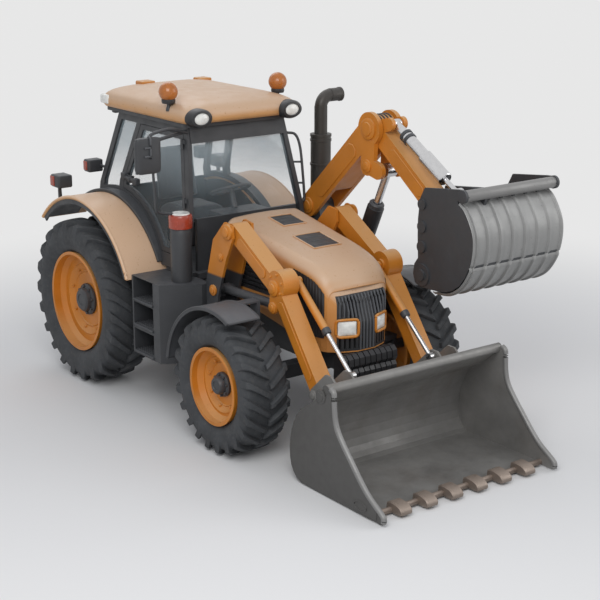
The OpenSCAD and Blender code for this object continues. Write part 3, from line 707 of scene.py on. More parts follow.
def floor_material(grey):
    """Matt grey near the machine, which fades into the even backdrop further out."""
    mat, tree, near = blank("floor")
    feed(tree, near, {"Base Color": (0.80, 0.80, 0.80, 1), "Roughness": 0.9, "Specular IOR Level": 0.0})
    far = add(tree, "Emission", {"Color": grey})
    away = add(tree, "VectorMath", {0: coordinates(tree)}, operation="LENGTH").outputs["Value"]
    fade = smooth_range(tree, away, 3.2, 8.0)
    fac = add(tree, "Math", {0: fade, 1: seen_ray(tree)}, operation="MULTIPLY").outputs["Value"]
    blend_out(tree, fac, near.outputs["BSDF"], far.outputs["Emission"], "Material Output")
    return mat


class LOADER_OT_stage(bpy.types.Operator):
    """Floor, soft studio light and the camera"""
    bl_idname = "loader.stage"
    bl_label = "Stage"

    def execute(self, context):
        scene, s = context.scene, context.scene.loader_stage
        cam = bpy.data.objects.new("camera", bpy.data.cameras.new("camera"))
        cam.data.lens = s.lens
        cam.data.sensor_width = 36
        cam.data.clip_end = 200
        scene.collection.objects.link(cam)
        look_at(cam, s.eye, s.target)
        scene.camera = cam
        grey = (s.backdrop, s.backdrop, s.backdrop, 1)
        u = np.linspace(-40, 40, 9)
        x, y = np.meshgrid(u, u, indexing="ij")
        points, faces = sheet(np.stack([x, y, np.full_like(x, -0.001)], -1), True)
        mesh = bpy.data.meshes.new("floor")
        mesh.from_pydata(points.tolist(), [], faces)
        mesh.materials.append(floor_material(grey))
        floor = bpy.data.objects.new("floor", mesh)
        scene.collection.objects.link(floor)
        for name, place, share in (("key", (6.5, -6.0, 7.5), 1.0), ("fill", (6.5, 7.5, 5.0), 0.40),
                                   ("back", (-6.0, 1.0, 8.0), 0.28)):
            light = bpy.data.objects.new(name, bpy.data.lights.new(name, "AREA"))
            light.data.size = 6.0
            light.data.energy = s.key_power * share
            scene.collection.objects.link(light)
            look_at(light, place, (0, 0, 1.0))
        scene.world = bpy.data.worlds.new("studio")
        scene.world.use_nodes = True
        tree = scene.world.node_tree
        sky = tree.nodes["Background"]
        feed(tree, sky, {"Color": (0.93, 0.95, 1.0, 1), "Strength": s.sky})
        seen = add(tree, "Background", {"Color": grey}).outputs["Background"]
        blend_out(tree, seen_ray(tree), sky.outputs["Background"], seen, "World Output")
        scene.view_settings.view_transform = "Standard"
        return {"FINISHED"}


class LOADER_OT_finishes(bpy.types.Operator):
    """Finish of every solid"""
    bl_idname = "loader.finishes"
    bl_label = "Finishes"

    def execute(self, context):
        for name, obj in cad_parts.items():
            for slot in obj.material_slots:
                slot.material = material(node_finish(name))
        return {"FINISHED"}


# Wheels

FRONT_RIM, REAR_RIM = 0.335, 0.48


def wheels(sizes):
    """For each end: name, tyre radius, x, tyre width, rim radius, y of the middle, dish beyond it."""
    yield "front", sizes.front_radius, sizes.wheelbase, 0.44, FRONT_RIM, 0.945, 0.075
    yield "rear", sizes.rear_radius, 0.0, 0.47, REAR_RIM, 0.93, 0.06


def tyre_skin(rad, width, rim, lugs, lug_h, inner):
    """A tyre about the y axis at the origin.

    The carcass is a rounded profile turned about the axle. Each lug is a bar on the carcass: its foot
    runs from the middle of the tread over the shoulder, its top stands lug_h out along the carcass
    normal, and its angle grows with the distance from the middle, which makes the slant. On the inner
    side, -1 or 1, the lug ends are cut back at the shoulder, which lets the digging bucket pass.
    """
    low = rad - lug_h
    wall = low - rim
    half = smooth_path([(0.34, rim), (0.40, rim + 0.02), (0.47, rim + 0.30 * wall),
                        (0.50, rim + 0.52 * wall), (0.495, low - 0.075), (0.455, low - 0.025),
                        (0.36, low - 0.006), (0.18, low), (0.0, low)], 5) * [width, 1]
    y, r = np.concatenate([half * [-1, 1], half[::-1][1:]]).T
    w = circle(144)[:, None]
    skin = np.stack(np.broadcast_arrays(r * np.sin(w), y, r * np.cos(w)), -1)
    carcass = (skin.reshape(-1, 3), grid_faces(len(w), len(y), True, True)[:, ::-1].tolist())

    path = half[::-1][: int(len(half) * 0.62)]
    t = np.gradient(path, axis=0)
    t /= np.linalg.norm(t, axis=1)[:, None]
    n = np.stack([-t[:, 1], t[:, 0]], 1)
    n[n[:, 1] < 0] *= -1
    run = np.linspace(0, 1, len(path))
    pitch = 2 * np.pi / lugs
    height = lug_h * np.interp(run, [0, 0.06, 0.62, 0.86, 1], [0.75, 1, 1, 0.8, 0.1])
    wide = rad * pitch * np.interp(run, [0, 0.3, 0.7, 1], [0.24, 0.28, 0.36, 0.42])
    turn = pitch * (0.2 + 0.85 * np.minimum(path[:, 0] / (0.45 * width), 1.15) ** 1.1)
    across = np.array([-0.62, -0.5, -0.4, 0.4, 0.5, 0.62])
    lift = np.array([-0.25, 0.88, 1.0, 1.0, 0.88, -0.25]) * height[:, None]
    out = np.minimum(path[:, :1] + n[:, :1] * lift, 0.499 * width)
    reach = path[:, 1:] + n[:, 1:] * lift
    cut = np.where(out > 0.40 * width, np.minimum(reach, rad - 0.046), reach)
    angle = turn[:, None] + across * wide[:, None] / path[:, 1:]
    shapes = [carcass]
    for side, shift in ((-1, 0.0), (1, 0.5)):
        far = cut if side == inner else reach
        for k in range(lugs):
            a = angle + pitch * (k + shift)
            bar = np.stack([far * np.cos(a), side * out, far * np.sin(a)], -1)
            shapes.append(rings(bar[:, ::-side]))
    return merged(*shapes)


class LOADER_OT_tyres(bpy.types.Operator):
    """Four bar-lug tyres"""
    bl_idname = "loader.tyres"
    bl_label = "Tyres"

    def execute(self, context):
        s = context.scene.loader_sizes
        for end, rad, x, width, rim, y, _ in wheels(s):
            for side, sign in SIDES:
                points, faces = tyre_skin(rad, width, rim, s.lug_count, s.lug_height, -sign)
                skin = (points + [x, sign * y, rad], faces)
                obj = put(f"tyre_skin_{end}_{side}", skin, f"wheel_{end}_{side}", "tyre_rubber", 35)
                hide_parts(f"tyre_{end}_{side}")
        return {"FINISHED"}


class LOADER_OT_hubs(bpy.types.Operator):
    """Dark hub with its bolts in each rim, and two pressed rings and eight bolts in the dish"""
    bl_idname = "loader.hubs"
    bl_label = "Hubs"

    def execute(self, context):
        for end, rad, x, _, rim, y, face in wheels(context.scene.loader_sizes):
            k, out = rim / REAR_RIM, y + face
            profile = np.array([(0.155, 0.002), (0.155, 0.024), (0.140, 0.036), (0.118, 0.040),
                                (0.112, 0.075), (0.095, 0.090), (0.060, 0.093), (0.055, 0.086),
                                (0.004 / k, 0.088)]) * [k, 1] + [0, out]
            hub = merged(turned(profile, (x, 0, rad)),
                         bolt_circle(x, rad, 0.133 * k, out + 0.036, 10, 0.013 * k + 0.003, 0.016))
            w = circle(96)[:, None]
            dish = []
            for share, dr, dy in ((0.70, (0, 0.010, 0.022, 0.011), (0.028, 0.037, 0.028, 0.024)),
                                  (0.545, (0, 0.008, 0.018, 0.009), (-0.002, 0.008, -0.002, -0.006))):
                r = share * rim + np.array(dr)
                ring = np.broadcast_arrays(x + r * np.sin(w), out + np.array(dy), rad + r * np.cos(w))
                dish.append(rings(np.stack(ring, -1), True))
            dish.append(bolt_circle(x, rad, 0.63 * rim, out + 0.010, 32, 0.016, 0.014))
            for side, sign in SIDES:
                body = f"wheel_{end}_{side}"
                put(f"hub_{end}_{side}", on_side(hub, sign), body, "charcoal_paint", 35)
                put(f"rim_rings_{end}_{side}", on_side(merged(*dish), sign), body, "amber_paint", 35)
        return {"FINISHED"}


# Roof

# Layers of the roof from its foot up: back, front, half width, corner radius and height
ROOF_FOOT = 2.6403
ROOF_LAYERS = (
    (-0.290, 1.280, 0.604, 0.09, 0.000), (-0.304, 1.300, 0.620, 0.105, 0.022),
    (-0.309, 1.307, 0.625, 0.11, 0.055), (-0.303, 1.300, 0.619, 0.118, 0.095),
    (-0.285, 1.278, 0.603, 0.128, 0.128), (-0.250, 1.225, 0.560, 0.15, 0.158),
    (-0.190, 1.120, 0.490, 0.18, 0.183), (-0.100, 0.990, 0.400, 0.20, 0.202),
    (0.020, 0.820, 0.290, 0.20, 0.214), (0.200, 0.600, 0.150, 0.14, 0.219))
BEACON = (0.962, 0.61, 2.905)
BEACON_RADIUS = 0.088
WORK_LAMP = (1.295, 0.5, 2.692)
WORK_LAMP_RATIO = 1.45


class LOADER_OT_roof(bpy.types.Operator):
    """Crowned roof, its lamps, the two blocks on its top and the amber globes"""
    bl_idname = "loader.roof"
    bl_label = "Roof"

    def execute(self, context):
        stack = [rounded_rect(*ring, ROOF_FOOT + h) for *ring, h in smooth_path(ROOF_LAYERS, 5)]
        obj = put("roof_skin", rings(np.stack(stack)), "chassis", "panel_paint", 60)
        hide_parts("roof")
        blocks = merged(rounded_box((-0.165, -0.300, 2.815), (-0.025, -0.150, 2.868), 0.014),
                        rounded_box((-0.170, 0.370, 2.800), (-0.030, 0.510, 2.850), 0.014))
        put("roof_blocks", blocks, "chassis", "amber_paint")
        self.beacons()
        self.lamps()
        return {"FINISHED"}

    def beacons(self):
        """A globe cut off below, on a rounded collar and a stem."""
        a = np.radians(np.linspace(-62, 90, 22))
        r = np.maximum(BEACON_RADIUS * np.cos(a), 0.001)
        globe = turned(np.stack([r, BEACON_RADIUS * np.sin(a)], 1), BEACON, "z")
        obj = put("beacon_globes", both(globe), "chassis", "beacon_amber", 60)
        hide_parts("beacons")
        neck = turned([(0.030, -0.108), (0.058, -0.104), (0.064, -0.086), (0.062, -0.066),
                       (0.040, -0.060)], BEACON, "z")
        put("beacon_collars", both(neck), "chassis", "black_paint")
        stem = turned([(0.026, -0.175), (0.024, -0.15), (0.016, -0.13), (0.016, -0.10)], BEACON, "z", 24)
        put("beacon_stems", both(stem), "chassis", "charcoal_paint")

    def lamps(self):
        """Turned bezels and glasses, drawn out sideways, and a marker box at each rear corner."""
        bezel = turned([(0.052, 0.0), (0.060, -0.040), (0.088, -0.035), (0.086, 0.030), (0.074, 0.058),
                        (0.056, 0.062), (0.052, 0.050)], WORK_LAMP, "x")
        glass = turned([(0.060, 0.040), (0.054, 0.052), (0.034, 0.060), (0.001, 0.063)], WORK_LAMP, "x")
        bezel, glass = (both(widened(v, WORK_LAMP[1], WORK_LAMP_RATIO)) for v in (bezel, glass))
        put("roof_lamp_bezels", bezel, "chassis", "black_paint")
        put("roof_lamp_glass", glass, "chassis", "lamp_clear", 60)
        marker = rounded_box((-0.285, 0.575, 2.665), (-0.125, 0.634, 2.755), 0.02)
        put("roof_markers", both(marker), "chassis", "lamp_clear")


# Hood

# Stations of the hood along x: x, half width, top, edge radius and low side
HOOD = smooth_path((
    (1.598, 0.430, 1.818, 0.112, 1.562), (1.75, 0.4245, 1.795, 0.112, 1.562),
    (2.20, 0.407, 1.722, 0.110, 1.562), (2.58, 0.391, 1.659, 0.107, 1.5),
    (2.80, 0.363, 1.603, 0.104, 1.44), (2.905, 0.345, 1.534, 0.100, 1.40),
    (2.956, 0.323, 1.456, 0.090, 1.385), (2.972, 0.314, 1.415, 0.060, 1.382)))
VENTS = ((1.745, 1.985, -0.060, 0.190), (2.215, 2.525, -0.125, 0.165))
HEADLAMP_Y, HEADLAMP_Z = 0.1815, 1.1025


def hood_at(x):
    """Half width, top and edge radius of the hood at x."""
    return (np.interp(x, HOOD[:, 0], HOOD[:, k]) for k in (1, 2, 3))


def crown(y, half, r):
    """Rise of the hood's top at y: a parabola, highest in the middle and nothing at the rounded edge."""
    return 0.012 * (1 - (y / (half - r)) ** 2)


def hood_section(half, top, r, low):
    """Half ring of the hood in y and z, from the low side over the edge to the middle, then mirrored."""
    a = np.linspace(0, np.pi / 2, 14)
    side = np.stack([np.full(6, half), np.linspace(low, top - r, 6)], 1)
    edge = np.stack([half - r + r * np.cos(a), top - r + r * np.sin(a)], 1)
    y = np.linspace(half - r, 0, 9)
    left = np.concatenate([side, edge[1:], np.stack([y, top + crown(y, half, r)], 1)[1:]])
    return np.concatenate([left, (left * [-1, 1])[::-1][1:]])


def nose_x(y, z):
    """How far forward the nose reaches at y and z: the lower of its side slope and its top slope."""
    return np.minimum(np.interp(np.abs(y), [0.0, 0.09, 0.24, 0.319], [3.102, 3.102, 3.042, 2.960]),
                      np.interp(z, [1.10, 1.15, 1.33, 1.45], [3.110, 3.100, 3.040, 2.960]))


def vent_shapes():
    """Panes that follow the hood's crown, a tube round the edge of each, and three bars across it."""
    panes, rims, bars = [], [], []
    for x0, x1, y0, y1 in VENTS:
        x, y = np.meshgrid(np.linspace(x0, x1, 12), np.linspace(y0, y1, 12), indexing="ij")
        half, top, r = hood_at(x)
        pane = np.stack([x, y, top + crown(y, half, r) + 0.003], -1)
        panes.append(sheet(pane, True))
        edge = (pane[:-1, 0], pane[-1, :-1], pane[:0:-1, -1], pane[0, :0:-1], pane[:1, 0])
        rims.append(tube(np.concatenate(edge), 0.008, 8))
        bars += [tube(pane[k], 0.004, 6) for k in (3, 6, 9)]
    return merged(*panes), merged(*rims), merged(*bars)


class LOADER_OT_hood(bpy.types.Operator):
    """Smooth skin over the hood's top, vents, side screens, grille slats and headlamps"""
    bl_idname = "loader.hood"
    bl_label = "Hood"

    def execute(self, context):
        grid = []
        for x, half, top, r, low in HOOD:
            y, z = hood_section(half, top, r, min(low, top - r - 0.005)).T
            nose = np.interp(x, [2.6, 2.972], [0.0, 0.040]) * (1 - (y / half) ** 2)
            grid.append(np.stack([x + nose, y, z], 1))
        obj = put("hood_skin", sheet(np.stack(grid)), "chassis", "body_paint", 60)
        thick = obj.modifiers.new("thickness", "SOLIDIFY")
        thick.thickness = 0.004
        thick.offset = -1.0
        panes, rims, bars = vent_shapes()
        put("hood_vents", panes, "chassis", "black_paint")
        self.screens()
        put("hood_vent_rims", rims, "chassis", "body_paint")
        put("hood_vent_bars", bars, "chassis", "slate_paint")
        self.slats()
        self.headlamps()
        return {"FINISHED"}

    def screens(self):
        """Side screens below the hood's edge, with upright ribs that are a cosine wave along x."""
        x = np.linspace(2.585, 2.940, 130)
        half, top, r = hood_at(x)
        ribs = half + 0.003 + 0.003 * (1 + np.cos(2 * np.pi * x / 0.034))
        z = 1.01 + np.linspace(0, 1, 4)[:, None] * (top - r - 1.002)
        screen = sheet(np.stack(np.broadcast_arrays(x, ribs, z), -1), True)
        put("side_screens", both(screen), "chassis", "black_paint", 60)

    def slats(self):
        """Upright bars on the nose, short above the headlamps."""
        slats = []
        for y in np.linspace(-0.245, 0.245, 15):
            z = np.linspace(1.195, 1.372, 8) if abs(y) > 0.10 else np.linspace(0.905, 1.372, 14)
            slats.append(tube(np.stack([nose_x(y, z) + 0.003, np.full_like(z, y), z], 1), 0.0095, 8))
        put("grille_slats", merged(*slats), "chassis", "slate_paint")

    def headlamps(self):
        """A tube round a squared ellipse, and a lens that bulges by a fourth power from rim to middle."""
        a = np.linspace(0, 2 * np.pi, 49)
        c, s = (np.sign(v) * np.abs(v) ** 0.35 for v in (np.cos(a), np.sin(a)))
        y, z = HEADLAMP_Y + 0.088 * c, HEADLAMP_Z + 0.076 * s
        rim = tube(np.stack([nose_x(y, z) + 0.006, y, z], 1), 0.013, 8)
        put("headlamp_frames", both(rim), "chassis", "amber_paint")
        u, v = np.meshgrid(np.linspace(-1, 1, 13), np.linspace(-1, 1, 11), indexing="ij")
        y, z = HEADLAMP_Y + 0.071 * u, HEADLAMP_Z + 0.060 * v
        x = nose_x(y, z) + 0.004 + 0.014 * (1 - u ** 4) * (1 - v ** 4)
        put("headlamp_glass", both(sheet(np.stack([x, y, z], -1), True)), "chassis", "lamp_clear", 60)


# Cab fittings

class LOADER_OT_mirror(bpy.types.Operator):
    """Mirror with its stay and clamp, the door's latch, and the grab rail on the left post"""
    bl_idname = "loader.mirror"
    bl_label = "Mirror and rails"

    def execute(self, context):
        self.mirror()
        self.latch()
        self.clamp()
        self.rail()
        return {"FINISHED"}

    def mirror(self):
        """Rounded rectangles stacked along x for the shell, a flat glass, and bent tubes for the stay."""
        layers = ((1.372, 0.014), (1.376, 0.004), (1.384, 0.0),
                  (1.408, 0.0), (1.420, 0.006), (1.426, 0.024))
        shell = [rounded_rect(2.272 + d, 2.593 - d, 0.126 - d, 0.050 - d, x)[:, ::-1] - [0, 1.10, 0]
                 for x, d in layers]
        put("mirror_housing", rings(np.stack(shell)), "chassis", "charcoal_paint", 35)
        glass = rounded_box((1.366, -1.203, 2.295), (1.374, -0.997, 2.570), 0.003)
        put("mirror_glass", glass, "chassis", "chrome")
        upper = smooth_path([(1.19, -0.56, 2.555), (1.30, -0.80, 2.625), (1.385, -0.985, 2.630),
                             (1.400, -1.06, 2.615), (1.400, -1.09, 2.585)])
        lower = smooth_path([(1.398, -1.05, 2.275), (1.40, -1.04, 2.10), (1.40, -1.03, 1.95),
                             (1.39, -0.98, 1.905), (1.40, -0.86, 1.885)])
        put("mirror_stay", merged(tube(upper, 0.015), tube(lower, 0.012)), "chassis", "charcoal_paint")

    def latch(self):
        """Two rounded blocks joined by a bar, and a button."""
        latch = [rounded_box((x, -0.668, z - 0.034), (x + 0.075, -0.612, z + 0.034), 0.012)
                 for x, z in ((0.130, 2.012), (0.345, 1.985))]
        latch.append(tube([(0.15, -0.648, 2.008), (0.40, -0.648, 1.985)], 0.017))
        latch.append(boss((0.290, 1.990), -0.640, 0.030, 0.034, -1))
        put("door_latch", merged(*latch), "door_right", "charcoal_paint", 35)

    def clamp(self):
        """A bent tube down the mirror's back with two short bars."""
        bend = smooth_path([(1.405, -1.088, 2.60), (1.432, -1.088, 2.575), (1.434, -1.088, 2.41)])
        clamp = [tube(bend, 0.011)]
        clamp += [tube([(1.430, -1.088, z), (1.430, -1.150, z)], 0.010) for z in (2.505, 2.430)]
        put("mirror_clamp", merged(*clamp), "chassis", "slate_paint")

    def rail(self):
        """A bent tube along the post, with two short bars to it."""
        path = smooth_path([(1.14, 0.585, 2.44), (1.185, 0.655, 2.42), (1.220, 0.686, 2.30),
                            (1.258, 0.690, 2.05), (1.280, 0.690, 1.86), (1.290, 0.680, 1.80),
                            (1.300, 0.640, 1.79)])
        rail = [tube(path, 0.013)]
        for z in (2.16, 1.96):
            lean = (z - 2.05) * 0.14
            rail.append(tube([(1.245 - lean, 0.688, z), (1.180 - lean, 0.600, z)], 0.010))
        put("grab_rail", merged(*rail), "chassis", "charcoal_paint")


class LOADER_OT_columns(bpy.types.Operator):
    """Air intake column with its red ring, and the muffler's bands and mouth"""
    bl_idname = "loader.columns"
    bl_label = "Intake and muffler"

    def execute(self, context):
        intake, muffler, elbow = (1.415, -0.79, 0), (1.015, 1.09, 0), (1.015, 0, 2.734)
        column = turned([(0.094, 1.2601), (0.096, 1.28), (0.096, 1.70), (0.090, 1.742), (0.086, 1.75)],
                        intake, "z")
        obj = put("intake_column", column, "chassis", "charcoal_paint")
        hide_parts("air_intake")
        ring = turned([(0.090, 1.748), (0.106, 1.754), (0.108, 1.77), (0.108, 1.858), (0.102, 1.872),
                       (0.08, 1.876)], intake, "z")
        put("intake_ring", ring, "chassis", "lamp_red")
        cap = turned([(0.080, 1.872), (0.084, 1.880), (0.078, 1.889), (0.001, 1.889)], intake, "z")
        put("intake_cap", cap, "chassis", "lamp_clear")
        bands = [turned([(0.098, z), (0.106, z + 0.004), (0.106, z + 0.026), (0.098, z + 0.03)],
                        muffler, "z") for z in (1.76, 2.05, 2.29)]
        mouth = turned([(0.062, 1.300), (0.069, 1.306), (0.069, 1.328), (0.060, 1.333), (0.052, 1.331)],
                       elbow)
        put("muffler_bands", merged(*bands, mouth), "chassis", "exhaust_grey")
        # Painted shade: a black disc just inside the muffler's mouth stands for the dark inside of the pipe.
        mouth_shade = turned([(0.052, 1.326), (0.052, 1.3315), (0.001, 1.3315)], elbow)
        put("exhaust_hole", mouth_shade, "chassis", "black_paint")
        return {"FINISHED"}


# Fenders and steps

class LOADER_OT_fenders(bpy.types.Operator):
    """Rolled edges of the rear fenders, a black sheet under them as painted shade, the trim towards the cab
    and the tail lamps
    """
    bl_idname = "loader.fenders"
    bl_label = "Fenders"

    def execute(self, context):
        hub = (0, context.scene.loader_sizes.rear_radius)
        edge = np.insert(arc(hub, 1.0125, 23.8, 135.7, 60), 1, 1.082, axis=1)
        put("fender_edges", both(tube(edge, 0.018)), "chassis", "fender_paint")
        for name, finish, band in (
                ("fender_skirts", "charcoal_paint", (1.004, 0.950, 24.5, 135, 1.060, 1.084, 0.005)),
                # Painted shade: a black sheet just under each fender.
                ("fender_linings", "black_paint", (0.9985, 0.992, 24, 135, 0.70, 1.075, 0.001)),
                ("fender_trim", "charcoal_paint", (1.026, 1.058, 30, 118, 0.625, 0.735, 0.006))):
            put(name, both(arched(hub, *band)), "chassis", finish)
        cases = merged(rounded_box((-0.652, 0.868, 1.822), (-0.470, 1.022, 1.948), 0.018),
                       rounded_box((-0.507, 0.566, 1.963), (-0.385, 0.724, 2.087), 0.016))
        put("tail_lamp_cases", both(cases), "chassis", "charcoal_paint")
        lenses = merged(rounded_box((-0.662, 0.885, 1.838), (-0.640, 0.945, 1.932), 0.006),
                        rounded_box((-0.662, 0.952, 1.838), (-0.640, 1.005, 1.932), 0.006),
                        rounded_box((-0.516, 0.582, 1.98), (-0.498, 0.708, 2.07), 0.005),
                        rounded_box((-0.645, 1.016, 1.836), (-0.565, 1.030, 1.934), 0.006),
                        rounded_box((-0.500, 0.718, 1.98), (-0.430, 0.730, 2.07), 0.005))
        put("tail_lamp_glass", both(lenses), "chassis", "lamp_red")
        return {"FINISHED"}


class LOADER_OT_front_fenders(bpy.types.Operator):
    """Turned-down outer edge and rolled rims of the front fenders"""
    bl_idname = "loader.front_fenders"
    bl_label = "Front fenders"

    def execute(self, context):
        s = context.scene.loader_sizes
        hub, sides, roll = (s.wheelbase, s.front_radius), (0.853, 1.168), 0.011
        edge = [arched(hub, 0.695, 0.664, 66, 172, 1.156, 1.176, 0.004)]
        edge += [tube(np.insert(arc(hub, 0.690, 65, 173, 50), 1, y, axis=1), roll, 10) for y in sides]
        edge += [tube([(x, y, z) for y in sides], roll, 10) for x, z in arc(hub, 0.690, 65, 173, 2)]
        for side, sign in SIDES:
            shape = on_side(merged(*edge), sign)
            put(f"front_fender_edge_{side}", shape, f"steer_hub_{side}", "charcoal_paint", 35)
        return {"FINISHED"}


class LOADER_OT_steps(bpy.types.Operator):
    """Grip plates on the entry steps"""
    bl_idname = "loader.steps"
    bl_label = "Steps"

    def execute(self, context):
        shapes = []
        for z in (0.545, 0.800, 1.040):
            shapes.append(rounded_box((0.992, -1.052, z - 0.006), (1.324, -0.850, z + 0.008), 0.003))
            shapes += [rounded_box((1.00, y - 0.006, z + 0.004), (1.316, y + 0.006, z + 0.016), 0.003)
                       for y in np.linspace(-1.03, -0.88, 6)]
            shapes.append(tube([(0.99, -1.052, z - 0.004), (1.328, -1.052, z - 0.004)], 0.012))
        put("step_plates", merged(*shapes), "chassis", "charcoal_paint")
        return {"FINISHED"}


# Rear

class LOADER_OT_rear(bpy.types.Operator):
    """Gearbox cover with its shaft guard, lift links, rear wall fittings and the left tank's panel"""
    bl_idname = "loader.rear"
    bl_label = "Rear"

    def execute(self, context):
        self.cover()
        self.links()
        ribs = [rounded_box((-0.356, -0.540, z - 0.012), (-0.343, 0.540, z + 0.012), 0.005)
                for z in (1.32, 1.42, 1.72)]
        put("rear_wall_ribs", merged(*ribs), "chassis", "charcoal_paint")
        blank_plate = rounded_box((-0.362, -0.260, 1.500), (-0.343, 0.260, 1.620), 0.006)
        put("rear_blank_plate", blank_plate, "chassis", "worn_steel")
        lamp = rounded_box((-0.335, 0.360, 2.548), (-0.268, 0.480, 2.624), 0.014)
        put("rear_work_lamps", both(lamp), "chassis", "black_paint")
        glass = rounded_box((-0.341, 0.374, 2.560), (-0.331, 0.466, 2.612), 0.004)
        put("rear_work_glass", both(glass), "chassis", "lamp_clear")
        tank = merged(rounded_box((1.000, 1.128, 0.600), (1.385, 1.147, 1.170), 0.009),
                      boss((1.190, 1.050), 1.146, 0.052, 0.045, 1))
        put("tank_panel", tank, "chassis", "charcoal_paint", 35)
        return {"FINISHED"}

    def cover(self):
        """A bolted plate, a stepped shaft turned along x and a hoop bent half round it."""
        face = rounded_box((-0.366, -0.170, 0.800), (-0.344, 0.170, 1.110), 0.014)
        shaft = turned([(0.024, -0.470), (0.028, -0.466), (0.028, -0.400), (0.075, -0.396),
                        (0.080, -0.344)], (0, 0, 0.62), "x", 32)
        places = [(-0.366, y, z) for z in (0.825, 1.085) for y in np.linspace(-0.14, 0.14, 4)]
        bolts = bolt_heads(places, (-1, 0, 0), 0.012, 0.010)
        bow = np.insert(arc((0, 0.66), 0.125, 0, 180, 20), 0, -0.455, axis=1)
        hoop = tube(np.concatenate([[(-0.340, 0.125, 0.62)], bow, [(-0.340, -0.125, 0.62)]]), 0.014, 10)
        put("gearbox_cover", merged(face, shaft, bolts, hoop), "chassis", "charcoal_paint", 35)

    def links(self):
        """A flat bar between two pin caps on each side, hung from a bent arm by a rod."""
        root, end = (-0.24, 0.560), (-0.80, 0.470)
        arm = [(-0.280, 0.205, 1.080), (-0.310, 0.270, 1.080), (-0.420, 0.272, 1.050)]
        link = merged(strip(root, end, 0.034, 0.05, 0.95, 0.258, 0.282),
                      boss(root, 0.205, 0.040, 0.105, 1), boss(end, 0.248, 0.046, 0.044, 1),
                      tube(arm, 0.022), tube([(-0.420, 0.272, 1.058), (-0.530, 0.270, 0.510)], 0.015))
        put("lift_links", both(link), "chassis", "charcoal_paint", 35)


# Loader

# Front edge of the bucket's side from its top to its tooth, and the back of its side panel
BUCKET_FRONT = smooth_path((
    (3.80, 0.922), (3.838, 0.895), (3.842, 0.82), (3.850, 0.728), (3.868, 0.650), (3.905, 0.580),
    (3.98, 0.490), (4.079, 0.386), (4.180, 0.280), (4.288, 0.185), (4.440, 0.092), (4.466, 0.060),
    (4.462, 0.032)), 5)
BUCKET_BACK = ((3.640, 0.760), (3.590, 0.640), (3.592, 0.480), (3.640, 0.280), (3.760, 0.140),
               (4.015, 0.040), (4.390, 0.026))
TOOTH = smooth_path((
    (4.250, 0.040), (4.300, 0.0125), (4.400, 0.0125), (4.442, 0.030), (4.440, 0.064), (4.395, 0.094),
    (4.300, 0.104), (4.254, 0.082)), 3)


class LOADER_OT_loader(bpy.types.Operator):
    """Pin caps, panels and bolts of the loader arms, and the bucket's edge, teeth, rims and side panels"""
    bl_idname = "loader.loader"
    bl_label = "Loader"

    def execute(self, context):
        self.caps()
        self.edge()
        self.sides()
        self.panels()
        return {"FINISHED"}

    def caps(self):
        """Stepped caps on the pins of the arms, the towers and the bucket."""
        lift_foot, lift_eye, _ = LIFT_LINE
        caps = bosses((ARM_KNEE, ARM_OUTER, 0.070, 0.035, 1), (lift_eye, ARM_OUTER, 0.050, 0.03, 1),
                      (ARM_KNEE, ARM_INNER, 0.060, 0.03, -1))
        put("arm_caps", both(caps), "loader", "amber_paint", 35)
        caps = bosses((TOWER_PIN, TOWER_OUTER, 0.070, 0.04, 1), (lift_foot, TOWER_OUTER, 0.050, 0.03, 1),
                      ((1.90, 1.56), TOWER_OUTER, 0.036, 0.02, 1))
        put("tower_caps", both(caps), "chassis", "amber_paint", 35)
        cap = boss(BUCKET_PIN, 0.676, 0.048, 0.024, 1)
        put("bucket_pin_caps", both(cap), "front_bucket", "bucket_steel", 35)

    def edge(self):
        """A round cutting edge and six teeth cut from one outline."""
        edge = tube([(4.306, -0.912, 0.036), (4.306, 0.912, 0.036)], 0.026, 20)
        put("cutting_edge", edge, "front_bucket", "tooth_steel")
        teeth = [plate(TOOTH, y - 0.057, y + 0.057, 0.010) for y in np.linspace(-0.670, 0.670, 6)]
        put("bucket_teeth", merged(*teeth), "front_bucket", "tooth_steel", 35)

    def sides(self):
        """A tube along the front edge, a thin panel behind it, a boss and an oval mark."""
        rim = tube(np.insert(BUCKET_FRONT, 1, 0.923, axis=1), 0.023)
        put("bucket_rims", both(rim), "front_bucket", "worn_steel")
        panel = np.concatenate([BUCKET_BACK, BUCKET_FRONT[-12:-60:-3] - [0.022, 0.0]])
        side = both(plate(panel, 0.932, 0.9405, 0.004))
        put("bucket_side_panels", side, "front_bucket", "bucket_steel", 35)
        a = np.linspace(0, 2 * np.pi, 25)
        oval = np.stack([4.20 + 0.075 * np.cos(a), np.full(25, 0.941), 0.085 + 0.036 * np.sin(a)], 1)
        marks = merged(boss((3.690, 0.835), 0.934, 0.060, 0.024, 1), tube(oval, 0.006, 8))
        put("bucket_side_marks", both(marks), "front_bucket", "bucket_steel", 35)

    def panels(self):
        """A raised strip on each arm and a ring of six bolts at the knee."""
        foot, top = ARM_OUTER - 0.001, ARM_OUTER + 0.009
        panels = (strip(TOWER_PIN, ARM_KNEE, 0.046, 0.20, 0.76, foot, top),
                  strip(ARM_KNEE, BUCKET_PIN, 0.040, 0.16, 0.84, foot, top))
        ring = arc(np.add(ARM_KNEE, (0.02, 0.03)), 0.092, 20, 320, 6)
        bolts = bolt_heads(np.insert(ring, 1, ARM_OUTER, axis=1), (0, 1, 0), 0.013, 0.012)
        put("arm_panels", both(merged(*panels, bolts)), "loader", "amber_paint", 35)


# Digging arm

# Back of the digging bucket from its top to its edge, about the middle of its curve
DIG_BACK = smooth_path((
    (3.412, 2.112), (3.480, 2.068), (3.545, 1.980), (3.590, 1.890), (3.606, 1.800), (3.600, 1.700),
    (3.575, 1.600), (3.525, 1.500), (3.455, 1.410), (3.370, 1.350), (3.280, 1.316), (3.124, 1.300)), 12)
DIG_MIDDLE = (3.23, 1.73)
SEAMS = np.linspace(0.745, 1.775, 8)


